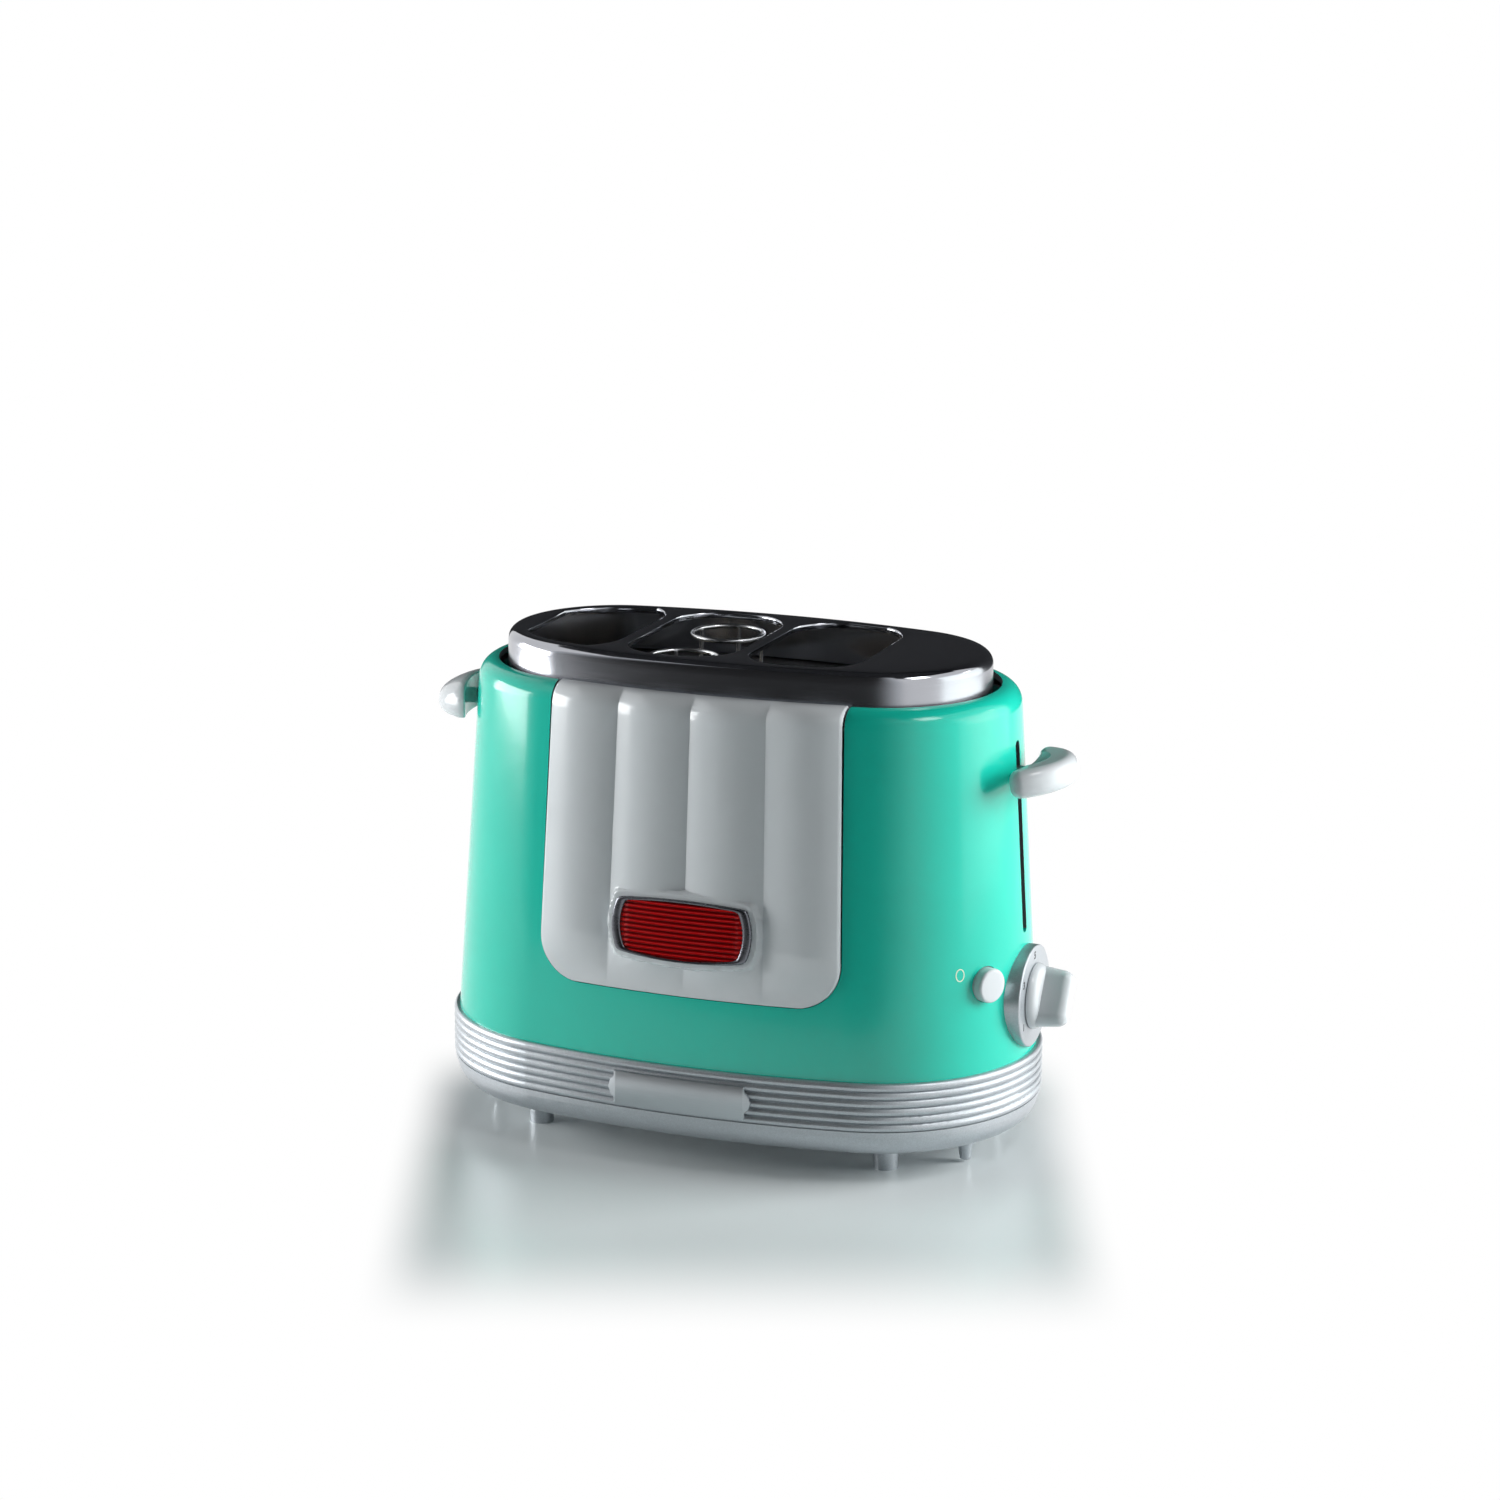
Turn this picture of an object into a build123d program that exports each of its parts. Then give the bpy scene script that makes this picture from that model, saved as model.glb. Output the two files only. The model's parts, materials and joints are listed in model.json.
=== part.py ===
from build123d import *
import math
import os

# Hot dog maker, in millimetres. +X is the end with the dial, -Y the fluted front, +Z up.
# The origin is on the table, under the middle of the oval body.

# Body plan: an oval of four tangent arcs, measured at the seam between shell and base
body_half_length = 128.0
body_half_depth = 74.6
side_bow = 5.6
overrun = 40.0
fit_gap = 0.3
running_clearance = 0.06

# Base: ribbed tub with a smooth bowl under it, clear of the table
base_bottom = 12.5
base_wall = 2.6
base_floor = 2.5
ridge_count = 6
ridge_pitch = 3.45
ridge_crest = 2.5
ridge_valley = 1.4
step_offset = 2.0
step_drop = 1.7
bowl_rise = 1.1
bowl_offset = 1.2
bowl_radius = 9.0
locating_rim_height = 5.0
locating_rim_wall = 1.8

# Shell: gloss moulding that leans in and rolls over to the lip round the top plate
shell_height = 153.8
lip_inset = 18.0
wall_lean = 3.73
shell_wall = 2.6
slot_width = 5.0
slot_end_gap = 2.5

# Feet and cord posts under the base
foot_end_inset = 49.6
foot_side_inset = 35.1
foot_radius = 5.65
foot_taper = 0.5
foot_plug_radius = 2.6
post_end_inset = 21.0
post_half_gap = 20.2
post_top_radius = 3.85
post_tip_radius = 2.2
post_floor_gap = 1.0

# Front panel: four upright flutes in a lighter moulding
panel_top_inset = 64.6
panel_low_inset = 60.9
panel_rise = 29.5
panel_corner = 19.0
panel_seam = 0.35
panel_skin = 0.4
panel_flange = 1.5
panel_flange_lap = 5.0
flute_count = 4
flute_top_lap = 1.0
flute_low_lap = 2.1
flute_rise = 4.2
flute_valley = 0.9
flute_fade = 20.0
flute_root = 1.0
flute_top_fade = 18.0
flute_crown_angle = 55.0

# Badge and name plate, both bare of words
badge_rise = 16.1
badge_height = 26.0
badge_half = 30.4
badge_end_bow = 2.4
badge_top_bow = 1.4
badge_low_bow = 2.2
badge_corner = 4.8
badge_pad_rise = 4.3
badge_pad_lap = 2.5
badge_bezel_rise = 1.6
badge_bezel_end = 3.4
badge_bezel_edge = 1.2
badge_insert_corner = 2.4
badge_insert_rise = 0.8
badge_rib_pitch = 2.1
badge_rib_rise = 0.5
badge_rib_start_share = 0.25
badge_reach = 10.0
name_plate_half = 31.7
name_plate_drop = 4.5
name_plate_height = 14.5
name_plate_notch = 2.6
name_plate_thickness = 1.1

# Top plate: a polished steel cap with three openings, which stands up out of the lip
plate_proud = 13.0
plate_inset = 22.0
plate_sheet = 1.2
plate_edge_radius = 5.0
plate_flange_inset = 14.6
plate_flange_drop = 6.8

# Openings: a bun well each side of the sausage well, moved left to leave room for the mechanism
left_end_room = 30.5
right_end_room = 68.5
well_bridge = 5.0
well_end_margin = 4.1
well_corner = 21.0
well_margin = 3.0
deck_lap = 2.5
ring_middle_gap = 19.2
ring_end_gap = 1.1
ring_wire = 2.0
cage_wire = 1.6

# Chassis: two sheet decks tied by two end plates
sheet = 1.2
lower_deck_rise = 10.0
lower_deck_side_room = 26.6
left_plate_inset = 26.0
left_plate_half = 21.0
right_plate_gap = 6.5
right_plate_half = 30.0
rest_well_gap = 3.0
rest_well_corner = 7.0
end_foot = 12.0
bar_slot_half = 3.0

# Heaters and the wires that keep the buns off them
board_sheet = 1.0
board_arm_gap = 2.9
end_board_gap = 2.0
board_slot_half = 5.0
guard_wire = 2.0
guard_inset = 1.5
guard_end_gap = 10.5
guard_count = 4

# Lift carriages: sleeves on guide rods, one for the buns and one for the sausages
travel_down = 60.0
travel_up = 8.0
bar_clearance = 7.8
rod_radius = 2.5
sleeve_radius = 4.75
bun_rod_gap = 22.0
sausage_rod_inset = 18.0
sleeve_gap = 1.1
stem_half = 1.8
bun_stem_drop = 19.0
sausage_stem_drop = 8.0
stem_height = 6.0
stem_reach = 1.2
lift_bar_half = 1.5
lift_bar_height = 7.0
lift_bar_tail = 1.8
rest_side_gap = 7.5
rest_end_gap = 15.5
rest_sheet = 1.2
rest_rib_height = 4.0
rest_corner = 5.6
rest_rib_shares = (0.25, 0.75)
yoke_inset = 15.5
yoke_width = 4.0
arm_width = 3.0
arm_lap = 1.0
basket_drop = 5.3
basket_wires = 5
basket_wire_start = 20.0
sausage_rest_lip = 1.2

# Return springs round the guide rods
spring_wire = 1.2
spring_mean_radius = 4.0
spring_turns = 9
seat_rise = 5.0
seat_radius = 6.5

# Lever paddles: dished crescents round the ends of the shell
paddle_radius = 28.0
paddle_inset = 10.5
paddle_gap = 2.5
start_paddle_drop = 3.3
lift_paddle_rise = 2.1
lift_paddle_short = 5.0
paddle_height = 12.0
paddle_horn = 4.5
paddle_edge = 4.2
paddle_dish = 3.0
paddle_dish_radius = 52.0
paddle_tilt = 8.0
paddle_root_half = 4.5

# Dial, knob and stop button on the right end
dial_rise = 24.5
dial_radius = 21.6
dial_proud = 2.2
dial_rim_width = 2.0
dial_rim_height = 0.9
knob_radius = 14.0
knob_skirt = 4.5
knob_proud = 16.6
knob_bar_half = 5.2
knob_bar_length = 13.4
knob_edge = 1.6
knob_turned = 22.0
shaft_radius = 3.0
shaft_depth = 8.0
button_angle = -27.7
button_rise = 37.0
button_radius = 7.3
button_proud = 4.0
button_travel = 2.5
button_flange = 1.6
button_flange_lap = 2.0
button_stem_radius = 2.5
button_stem = 2.4
button_edge = 1.2

# Control board, dial control, switch and latch magnet inside the right end
control_inset = 24.0
control_sheet = 1.6
control_half = 32.0
control_rise = 24.5
pot_radius = 8.0
pot_depth = 6.5
bush_radius = 4.6
bush_depth = 5.0
switch_half = 4.5
switch_depth = 14.0
shelf_drop = 20.0
shelf_y = 8.0
shelf_width = 18.0
shelf_length = 32.0
magnet_inset = 1.5
magnet_length = 19.0
magnet_start = 9.5
coil_inset = 3.0
armature_sheet = 3.0
armature_arm = 3.5
armature_gap = 0.7

# Crumb tray, drawn out of the back of the base
tray_side_room = 12.0
tray_rise = 12.0
tray_wall = 1.2
tray_height = 8.6
tray_front_inset = 22.6
tray_slot_gap = 0.8
tray_grip_reach = 8.0
tray_grip_half = 24.0
tray_grip_sheet = 2.4
runner_inset = 20.0
runner_width = 3.0

# Cord inlet in the back of the base, and the screws under it
inlet_angle = 60.0
inlet_drop = 12.0
inlet_boss = 8.5
inlet_radius = 5.0
inlet_bore = 3.2
inlet_flange = 7.0
inlet_flange_depth = 2.0
screw_radius = 1.6
screw_head_radius = 3.1
screw_head = 1.5
screw_length = 6.0

# Plan of the oval, from its length, its depth and the bow of its sides
lean = math.radians(wall_lean)
lean_slope = math.tan(lean)
body_end_radius = body_half_depth - side_bow
end_centre = body_half_length - body_end_radius
side_radius = (end_centre**2 + body_half_depth**2 - body_end_radius**2) / (2 * side_bow)
side_centre = side_radius - body_half_depth
end_sweep = math.degrees(math.atan2(side_centre, end_centre))
side_sweep = 90 - end_sweep

# Heights, from the table up
floor_top = base_bottom + base_floor
spring_seat = floor_top + seat_rise
tray_low = floor_top + tray_rise
seam_height = base_bottom + bowl_radius + bowl_rise + step_drop + ridge_count * ridge_pitch
lip_height = seam_height + shell_height
shoulder_radius = (lip_inset - lean_slope * shell_height) / (
    math.cos(lean) - lean_slope * (1 - math.sin(lean)))
panel_bottom = seam_height + panel_rise
badge_low = panel_bottom + badge_rise
badge_high = badge_low + badge_height
name_plate_high = seam_height - name_plate_drop
name_plate_low = name_plate_high - name_plate_height
plate_top = lip_height + plate_proud
plate_flange_top = lip_height - plate_flange_drop
deck_bottom = plate_flange_top - plate_sheet - sheet
lower_deck_z = seam_height + lower_deck_rise
lower_deck_top = lower_deck_z + sheet
carriage_low = lower_deck_top + travel_down + bar_clearance
rest_top = carriage_low + lift_bar_height
sleeve_top = deck_bottom - travel_up - sleeve_gap
bun_stem_low = sleeve_top - bun_stem_drop
sausage_stem_low = sleeve_top - sausage_stem_drop
start_paddle_low = bun_stem_low - start_paddle_drop
lift_paddle_low = sausage_stem_low + lift_paddle_rise
basket_top = plate_top - basket_drop
dial_z = seam_height + dial_rise
button_z = seam_height + button_rise
control_top = dial_z + control_rise
shelf_z = carriage_low - travel_down - shelf_drop
inlet_z = seam_height - inlet_drop
tall = plate_top + overrun

# Places along the body, from its two ends inwards
well_pitch = (2 * body_half_length - left_end_room - right_end_room + well_bridge) / 3
well_half_width = (well_pitch - well_bridge) / 2
left_well_x = left_end_room + well_half_width - body_half_length
pattern_x = left_well_x + well_pitch
right_well_x = pattern_x + well_pitch
left_plate_x = left_plate_inset - body_half_length
right_plate_x = right_well_x + well_half_width + right_plate_gap
bun_rod_x = right_plate_x + bun_rod_gap
sausage_rod_x = sausage_rod_inset - body_half_length
board_x = body_half_length - control_inset
paddle_centre = body_half_length - paddle_inset
foot_x = body_half_length - foot_end_inset
post_x = body_half_length - post_end_inset
panel_top_half = body_half_length - panel_top_inset
panel_low_half = body_half_length - panel_low_inset
flute_top_pitch = 2 * (panel_top_half + flute_top_lap) / flute_count
flute_low_pitch = 2 * (panel_low_half + flute_low_lap) / flute_count
tray_half = well_pitch + tray_side_room
runner_half_gap = tray_half - runner_inset

# Places across the body, from its depth
foot_y = body_half_depth - foot_side_inset
well_half_length = body_half_depth - plate_inset - plate_edge_radius - well_end_margin
ring_outer = (well_half_length - ring_middle_gap / 2 - ring_end_gap) / 2
ring_bore = ring_outer - ring_wire
sausage_y = ring_middle_gap / 2 + ring_outer
arm_y = sausage_y + ring_bore
board_half = arm_y - arm_width / 2 - board_arm_gap
guard_pitch = 2 * (board_half - guard_end_gap) / (guard_count - 1)
rest_half_width = well_half_width - rest_side_gap
rest_half_length = well_half_length - rest_end_gap
yoke_radius = body_end_radius - yoke_inset
lower_deck_half_depth = body_half_depth - lower_deck_side_room
tray_front = tray_front_inset - body_half_depth


def wall_offset(z, shift=0):
    """Distance of the leaning wall from the seam outline at a height."""
    return shift / math.cos(lean) - (z - seam_height) * lean_slope


def end_radius_at(z, shift=0):
    """Radius of the shell's rounded end at a height."""
    return body_end_radius + wall_offset(z, shift)


def oval(offset, z, height):
    """Solid slab of the body's plan, moved out by offset."""
    radius = body_end_radius + offset
    x = end_centre + radius * math.cos(math.radians(end_sweep))
    y = radius * math.sin(math.radians(end_sweep))
    reach_x = body_half_length + offset
    reach_y = body_half_depth + offset
    outline = make_face([
        ThreePointArc((-x, -y), (0, -reach_y), (x, -y)),
        ThreePointArc((x, -y), (reach_x, 0), (x, y)),
        ThreePointArc((x, y), (0, reach_y), (-x, y)),
        ThreePointArc((-x, y), (-reach_x, 0), (-x, -y))])
    return extrude(Pos(0, 0, z) * outline, amount=height)


def arc_sweep(section, centre, radius, start, sweep):
    """Turn a section of offsets and heights about one of the oval's centres."""
    placed = Pos(*centre) * Rot(0, 0, start) * Pos(radius, 0, 0) * section
    return revolve(placed, axis=Axis((*centre, 0), (0, 0, 1)), revolution_arc=sweep)


def front_ring(profile):
    """Carry a profile along the front arc of the oval."""
    section = Plane.XZ * profile
    return arc_sweep(section, (0, side_centre), side_radius, -90 - side_sweep, 2 * side_sweep)


def back_ring(profile):
    """Carry a profile along the back arc of the oval."""
    section = Plane.XZ * profile
    return arc_sweep(section, (0, -side_centre), side_radius, 90 - side_sweep, 2 * side_sweep)


def ring(profile):
    """Carry a profile of offsets and heights right round the oval."""
    section = Plane.XZ * profile
    right = arc_sweep(section, (end_centre, 0), body_end_radius, -end_sweep, 2 * end_sweep)
    left = arc_sweep(section, (-end_centre, 0), body_end_radius, 180 - end_sweep, 2 * end_sweep)
    return front_ring(profile) + right + back_ring(profile) + left


def wall_edges(shift, low):
    """The leaning wall and its shoulder, moved out by shift, from a height up to the lip."""
    radius = shoulder_radius + shift
    centre = Vector(-lip_inset, lip_height - shoulder_radius)
    middle = (math.pi / 2 + lean) / 2
    tangent = centre + Vector(math.cos(lean), math.sin(lean)) * radius
    crown = centre + Vector(math.cos(middle), math.sin(middle)) * radius
    top = centre + Vector(0, radius)
    foot = Vector(wall_offset(low, shift), low)
    return [Line(foot, tangent), ThreePointArc(tangent, crown, top)], foot, top


def wall_profile(inner, outer, low):
    """Closed section of a moulding that follows the wall between two shifts."""
    outside, outside_foot, outside_top = wall_edges(outer, low)
    inside, inside_foot, inside_top = wall_edges(inner, low)
    return make_face(outside + inside + [
        Line(outside_top, inside_top), Line(outside_foot, inside_foot)])


def band_profile(inner, outer, low, high):
    """Closed section of a straight band that lies along the leaning wall."""
    return make_face(Polyline(
        (wall_offset(low, inner), low), (wall_offset(low, outer), low),
        (wall_offset(high, outer), high), (wall_offset(high, inner), high), close=True))


def front_prism(outline):
    """Extrude an outline in X and Z towards the front."""
    return extrude(Plane.XZ * outline, amount=body_half_depth + overrun)


def panel_outline(grow):
    """The front panel's outline, wider by grow on its sides and foot."""
    low = panel_bottom - grow
    outline = make_face(Polyline(
        (-panel_low_half - grow, low), (panel_low_half + grow, low),
        (panel_top_half + grow, lip_height + overrun),
        (-panel_top_half - grow, lip_height + overrun), close=True))
    corners = outline.vertices().sort_by(Axis.Y)[:2]
    return fillet(corners, panel_corner + grow)


def box_between(low, high):
    """Box from its lowest to its highest corner."""
    size = [b - a for a, b in zip(low, high)]
    return Pos(*low) * Box(*size, align=(Align.MIN, Align.MIN, Align.MIN))


def rod(radius, x, y, low, high):
    """Upright round bar."""
    return Pos(x, y, low) * Cylinder(radius, high - low, align=(Align.CENTER, Align.CENTER, Align.MIN))


def bar_x(radius, y, z, low, high):
    """Round bar along X."""
    return Pos(low, y, z) * Rot(0, 90, 0) * Cylinder(
        radius, high - low, align=(Align.CENTER, Align.CENTER, Align.MIN))


def radial(angle, z, centre_x=end_centre):
    """Frame at the end arc's centre whose local Z points out at an angle."""
    return Pos(centre_x, 0, z) * Rot(0, 0, angle) * Rot(0, 90, 0)


def well(centre_x, half_width, half_length, corner, low, height):
    """Rounded upright prism of an opening."""
    outline = RectangleRounded(2 * half_width, 2 * half_length, corner)
    return Pos(centre_x, 0, low) * extrude(outline, amount=height)


def well_cut(half_width, half_length, low, height):
    """The three openings together, kept inside the plate's flat top."""
    cut = Part()
    for x in (left_well_x, pattern_x, right_well_x):
        cut += well(x, half_width, half_length, min(well_corner, half_width - fit_gap), low, height)
    return cut & oval(-plate_inset - plate_edge_radius - well_margin, low, height)


# Front panel, with the badge's pad
def flute_axis_point(place, z, pitch):
    """Point on a flute's axis, behind the wall by less than its radius."""
    x = place * pitch
    radius = side_radius + wall_offset(z)
    return Vector(x, side_centre - math.sqrt(radius**2 - x**2) + flute_radius - flute_rise, z)


half_pitch = (flute_top_pitch + flute_low_pitch) / 4
flute_sagitta = flute_rise - flute_valley + half_pitch**2 / (2 * side_radius)
flute_radius = (half_pitch**2 + flute_sagitta**2) / (2 * flute_sagitta)


def flutes():
    """Four convex uprights that meet in crisp valleys."""
    parts = Part()
    for index in range(flute_count):
        place = index - (flute_count - 1) / 2
        low = flute_axis_point(place, panel_bottom, flute_low_pitch)
        high = flute_axis_point(place, lip_height, flute_top_pitch)
        along = (high - low).normalized()
        start = Plane(origin=low - along * overrun, z_dir=along)
        length = (high - low).length + 2 * overrun
        parts += start * Cylinder(flute_radius, length, align=(Align.CENTER, Align.CENTER, Align.MIN))
    return parts


def flute_envelope():
    """Section that lets the flutes swell from the panel's foot and die out at the lip."""
    low = panel_bottom
    full = low + flute_fade
    turn = lip_height - flute_top_fade
    crown_angle = math.radians(flute_crown_angle)
    centre = Vector(-lip_inset, lip_height - shoulder_radius)
    crown = centre + Vector(math.cos(crown_angle), math.sin(crown_angle)) * (shoulder_radius + flute_rise / 2)
    top = (-lip_inset, lip_height + panel_skin)
    root = (-lip_inset, lip_height - flute_root)
    start = (wall_offset(turn, flute_rise), turn)
    inside, inside_foot, inside_top = wall_edges(-flute_root, low)
    return make_face(inside + [
        Line(inside_foot, (wall_offset(low, panel_skin), low)),
        Line((wall_offset(low, panel_skin), low), (wall_offset(full, flute_rise), full)),
        Line((wall_offset(full, flute_rise), full), start),
        ThreePointArc(start, crown, top),
        Line(top, inside_top)])


def badge_outline(ends, edges, corner):
    """Barrel outline of the badge, larger by one margin at its ends and another along its edges."""
    right = badge_half - badge_end_bow + ends
    low = badge_low + badge_low_bow - edges
    high = badge_high - badge_top_bow + edges
    middle = (low + high) / 2
    outline = make_face([
        ThreePointArc((-right, high), (0, badge_high + edges), (right, high)),
        ThreePointArc((right, high), (badge_half + ends, middle), (right, low)),
        ThreePointArc((right, low), (0, badge_low - edges), (-right, low)),
        ThreePointArc((-right, low), (-badge_half - ends, middle), (-right, high))])
    return fillet(outline.vertices(), corner)


def badge_band(inner, outer, outline):
    """Slice of the wall under an outline of the badge, between two shifts."""
    low = badge_low - badge_reach
    high = badge_high + badge_reach
    return ring(band_profile(inner, outer, low, high)) & front_prism(outline)


def make_front_panel():
    prism = front_prism(panel_outline(0))
    skin = ring(wall_profile(-shell_wall, panel_skin, panel_bottom)) & prism
    flange = ring(wall_profile(
        -shell_wall - panel_flange, -shell_wall, panel_bottom - panel_flange_lap))
    flange &= front_prism(panel_outline(panel_flange_lap))
    crown = ring(flute_envelope()) & flutes() & prism
    pad_outline = badge_outline(badge_pad_lap, badge_pad_lap, badge_corner + badge_pad_lap)
    pad = badge_band(-flute_root, badge_pad_rise, pad_outline)
    return skin + flange + crown + pad


def insert_outline(gap):
    """Outline of the badge's insert, or of its hole in the bezel, smaller by a gap."""
    return badge_outline(-badge_bezel_end - gap, -badge_bezel_edge - gap, badge_insert_corner)


def make_badge_bezel():
    rise = badge_pad_rise
    outer = badge_band(rise, rise + badge_bezel_rise, badge_outline(0, 0, badge_corner))
    return outer - badge_band(rise - flute_root, rise + 2 * badge_bezel_rise, insert_outline(0))


def make_badge_insert():
    rise = badge_pad_rise
    outline = insert_outline(fit_gap / 2)
    insert = badge_band(rise, rise + badge_insert_rise, outline)
    count = int(badge_height / badge_rib_pitch)
    ribs = Part()
    for index in range(count):
        z = badge_low + badge_rib_pitch * (index + badge_rib_start_share)
        ribs += ring(band_profile(
            rise + badge_insert_rise - fit_gap, rise + badge_insert_rise + badge_rib_rise,
            z, z + badge_rib_pitch / 2))
    return insert + (ribs & front_prism(outline))


def make_shell():
    body = ring(wall_profile(-shell_wall, 0, seam_height))
    body -= front_prism(panel_outline(panel_seam))
    for side, stem_low in ((1, bun_stem_low), (-1, sausage_stem_low)):
        low = stem_low - travel_down - slot_end_gap
        high = stem_low + stem_height + travel_up + slot_end_gap
        inside = side * (end_radius_at(high) + end_centre - overrun / 2)
        outside = side * (body_half_length + overrun)
        body -= box_between((min(inside, outside), -slot_width / 2, low),
                            (max(inside, outside), slot_width / 2, high))
    body -= bar_x(bush_radius + fit_gap, 0, dial_z, body_half_length - overrun, body_half_length + overrun)
    body -= radial(button_angle, button_z) * Cylinder(
        button_radius + fit_gap, body_end_radius + overrun, align=(Align.CENTER, Align.CENTER, Align.MIN))
    return body


def tray_slot_outline(gap):
    """Outline of the tray's mouth in the back of the base."""
    low = tray_low - gap
    high = tray_low + tray_height + gap
    return make_face(Polyline(
        (pattern_x - tray_half - gap, low), (pattern_x + tray_half + gap, low),
        (pattern_x + tray_half + gap, high), (pattern_x - tray_half - gap, high), close=True))


def back_prism(outline):
    """Extrude an outline in X and Z towards the back."""
    return extrude(Plane.XZ * outline, amount=-(body_half_depth + overrun))


def screw_places():
    """Screws under the feet of the chassis end plates."""
    left = [(left_plate_x + end_foot / 2, y) for y in (-left_plate_half / 2, left_plate_half / 2)]
    right = [(right_plate_x - end_foot / 2, y) for y in (-right_plate_half / 2, right_plate_half / 2)]
    return left + right


def foot_places():
    return [(x, y) for x in (-foot_x, foot_x) for y in (-foot_y, foot_y)]


def post_places():
    return [(x, y) for x in (-post_x, post_x) for y in (-post_half_gap, post_half_gap)]


def make_base():
    ridges = []
    z = seam_height
    for index in range(ridge_count):
        ridges.append(ThreePointArc(
            (ridge_valley, z), (ridge_crest, z - ridge_pitch / 2), (ridge_valley, z - ridge_pitch)))
        z -= ridge_pitch
    bowl_top = base_bottom + bowl_radius
    bowl_middle = bowl_radius * (1 - math.sqrt(1 / 2))
    bowl_foot = bowl_offset - bowl_radius
    profile = make_face(ridges + [
        Polyline((ridge_valley, z), (step_offset, z), (step_offset, z - step_drop),
                 (bowl_offset, z - step_drop), (bowl_offset, bowl_top)),
        ThreePointArc((bowl_offset, bowl_top), (bowl_offset - bowl_middle, base_bottom + bowl_middle),
                      (bowl_foot, base_bottom)),
        Polyline((bowl_foot, base_bottom), (bowl_foot - base_floor, base_bottom),
                 (bowl_foot - base_floor, floor_top), (bowl_foot, floor_top),
                 (-base_wall, bowl_top), (-base_wall, seam_height), (ridge_valley, seam_height))])
    tub = ring(profile)
    tub += oval(bowl_foot - base_floor, base_bottom, base_floor)
    rim_out = -shell_wall - fit_gap
    rim = make_face(Polyline(
        (rim_out - locating_rim_wall, seam_height - locating_rim_height),
        (-base_wall, seam_height - locating_rim_height), (-base_wall, seam_height), (rim_out, seam_height),
        (rim_out - locating_rim_height * lean_slope, seam_height + locating_rim_height),
        (rim_out - locating_rim_wall, seam_height + locating_rim_height), close=True))
    rim_ring = ring(rim)
    tub += rim_ring
    for side in (-1, 1):
        x = pattern_x + side * runner_half_gap
        tub += box_between((x - runner_width / 2, tray_front, floor_top - fit_gap),
                           (x + runner_width / 2, body_half_depth - bowl_radius, tray_low - fit_gap))
    for x in (bun_rod_x, sausage_rod_x):
        tub += rod(seat_radius, x, 0, floor_top - fit_gap, spring_seat)
        tub -= rod(rod_radius, x, 0, floor_top, spring_seat + overrun)
    boss = radial(inlet_angle, inlet_z) * Pos(0, 0, body_end_radius - base_wall) * Cylinder(
        inlet_boss, base_wall + ridge_crest + fit_gap, align=(Align.CENTER, Align.CENTER, Align.MIN))
    tub += boss
    tub -= radial(inlet_angle, inlet_z) * Cylinder(
        inlet_radius, body_end_radius + overrun, align=(Align.CENTER, Align.CENTER, Align.MIN))
    tub -= back_prism(tray_slot_outline(tray_slot_gap)) & box_between(
        (-body_half_length, 0, 0), (body_half_length, body_half_depth + overrun, seam_height))
    for x, y in screw_places():
        tub -= rod(screw_radius + fit_gap, x, y, 0, floor_top + overrun)
    for x, y in foot_places():
        tub -= rod(foot_plug_radius, x, y, 0, floor_top + overrun)
    return tub


def make_feet():
    feet = []
    for x, y in foot_places():
        pad = Pos(x, y, 0) * Cone(foot_radius - foot_taper, foot_radius, base_bottom,
                                  align=(Align.CENTER, Align.CENTER, Align.MIN))
        feet.append(pad + rod(foot_plug_radius, x, y, base_bottom - fit_gap, floor_top))
    return Compound(children=feet)


def make_cord_posts():
    posts = []
    for x, y in post_places():
        height = base_bottom - post_floor_gap
        tip = Pos(x, y, post_floor_gap) * Cone(
            post_tip_radius, post_top_radius, height, align=(Align.CENTER, Align.CENTER, Align.MIN))
        posts.append(fillet(tip.edges().sort_by(Axis.Z)[0], post_tip_radius / 2))
    return Compound(children=posts)


def make_name_plate():
    half = name_plate_half
    low, high, notch = name_plate_low, name_plate_high, name_plate_notch
    middle = (low + high) / 2
    outline = make_face([
        Polyline((-half + notch, high), (half - notch, high), (half - notch, high - notch)),
        ThreePointArc((half - notch, high - notch), (half, middle), (half - notch, low + notch)),
        Polyline((half - notch, low + notch), (half - notch, low), (-half + notch, low),
                 (-half + notch, low + notch)),
        ThreePointArc((-half + notch, low + notch), (-half, middle), (-half + notch, high - notch)),
        Line((-half + notch, high - notch), (-half + notch, high))])
    back = ridge_crest + running_clearance
    band = make_face(Polyline((back, low), (back + name_plate_thickness, low),
                              (back + name_plate_thickness, high), (back, high), close=True))
    return ring(band) & front_prism(outline)


def make_top_plate():
    edge = plate_edge_radius
    outer, inner = -plate_inset, -plate_inset - plate_sheet
    flat = outer - edge
    inner_top = plate_top - plate_sheet
    bend = edge * (1 - math.sqrt(1 / 2))
    inner_edge = edge - plate_sheet
    inner_bend = inner_edge * (1 - math.sqrt(1 / 2))
    low = plate_flange_top - plate_sheet
    profile = make_face([
        Polyline((-plate_flange_inset, low), (-plate_flange_inset, plate_flange_top),
                 (outer, plate_flange_top), (outer, plate_top - edge)),
        ThreePointArc((outer, plate_top - edge), (outer - bend, plate_top - bend), (flat, plate_top)),
        Line((flat, plate_top), (flat, inner_top)),
        ThreePointArc((flat, inner_top), (inner - inner_bend, inner_top - inner_bend),
                      (inner, inner_top - inner_edge)),
        Polyline((inner, inner_top - inner_edge), (inner, low), (-plate_flange_inset, low))])
    top = oval(flat, inner_top, plate_sheet)
    top -= well_cut(well_half_width, well_half_length, inner_top - overrun, 2 * overrun)
    return ring(profile) + top


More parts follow.
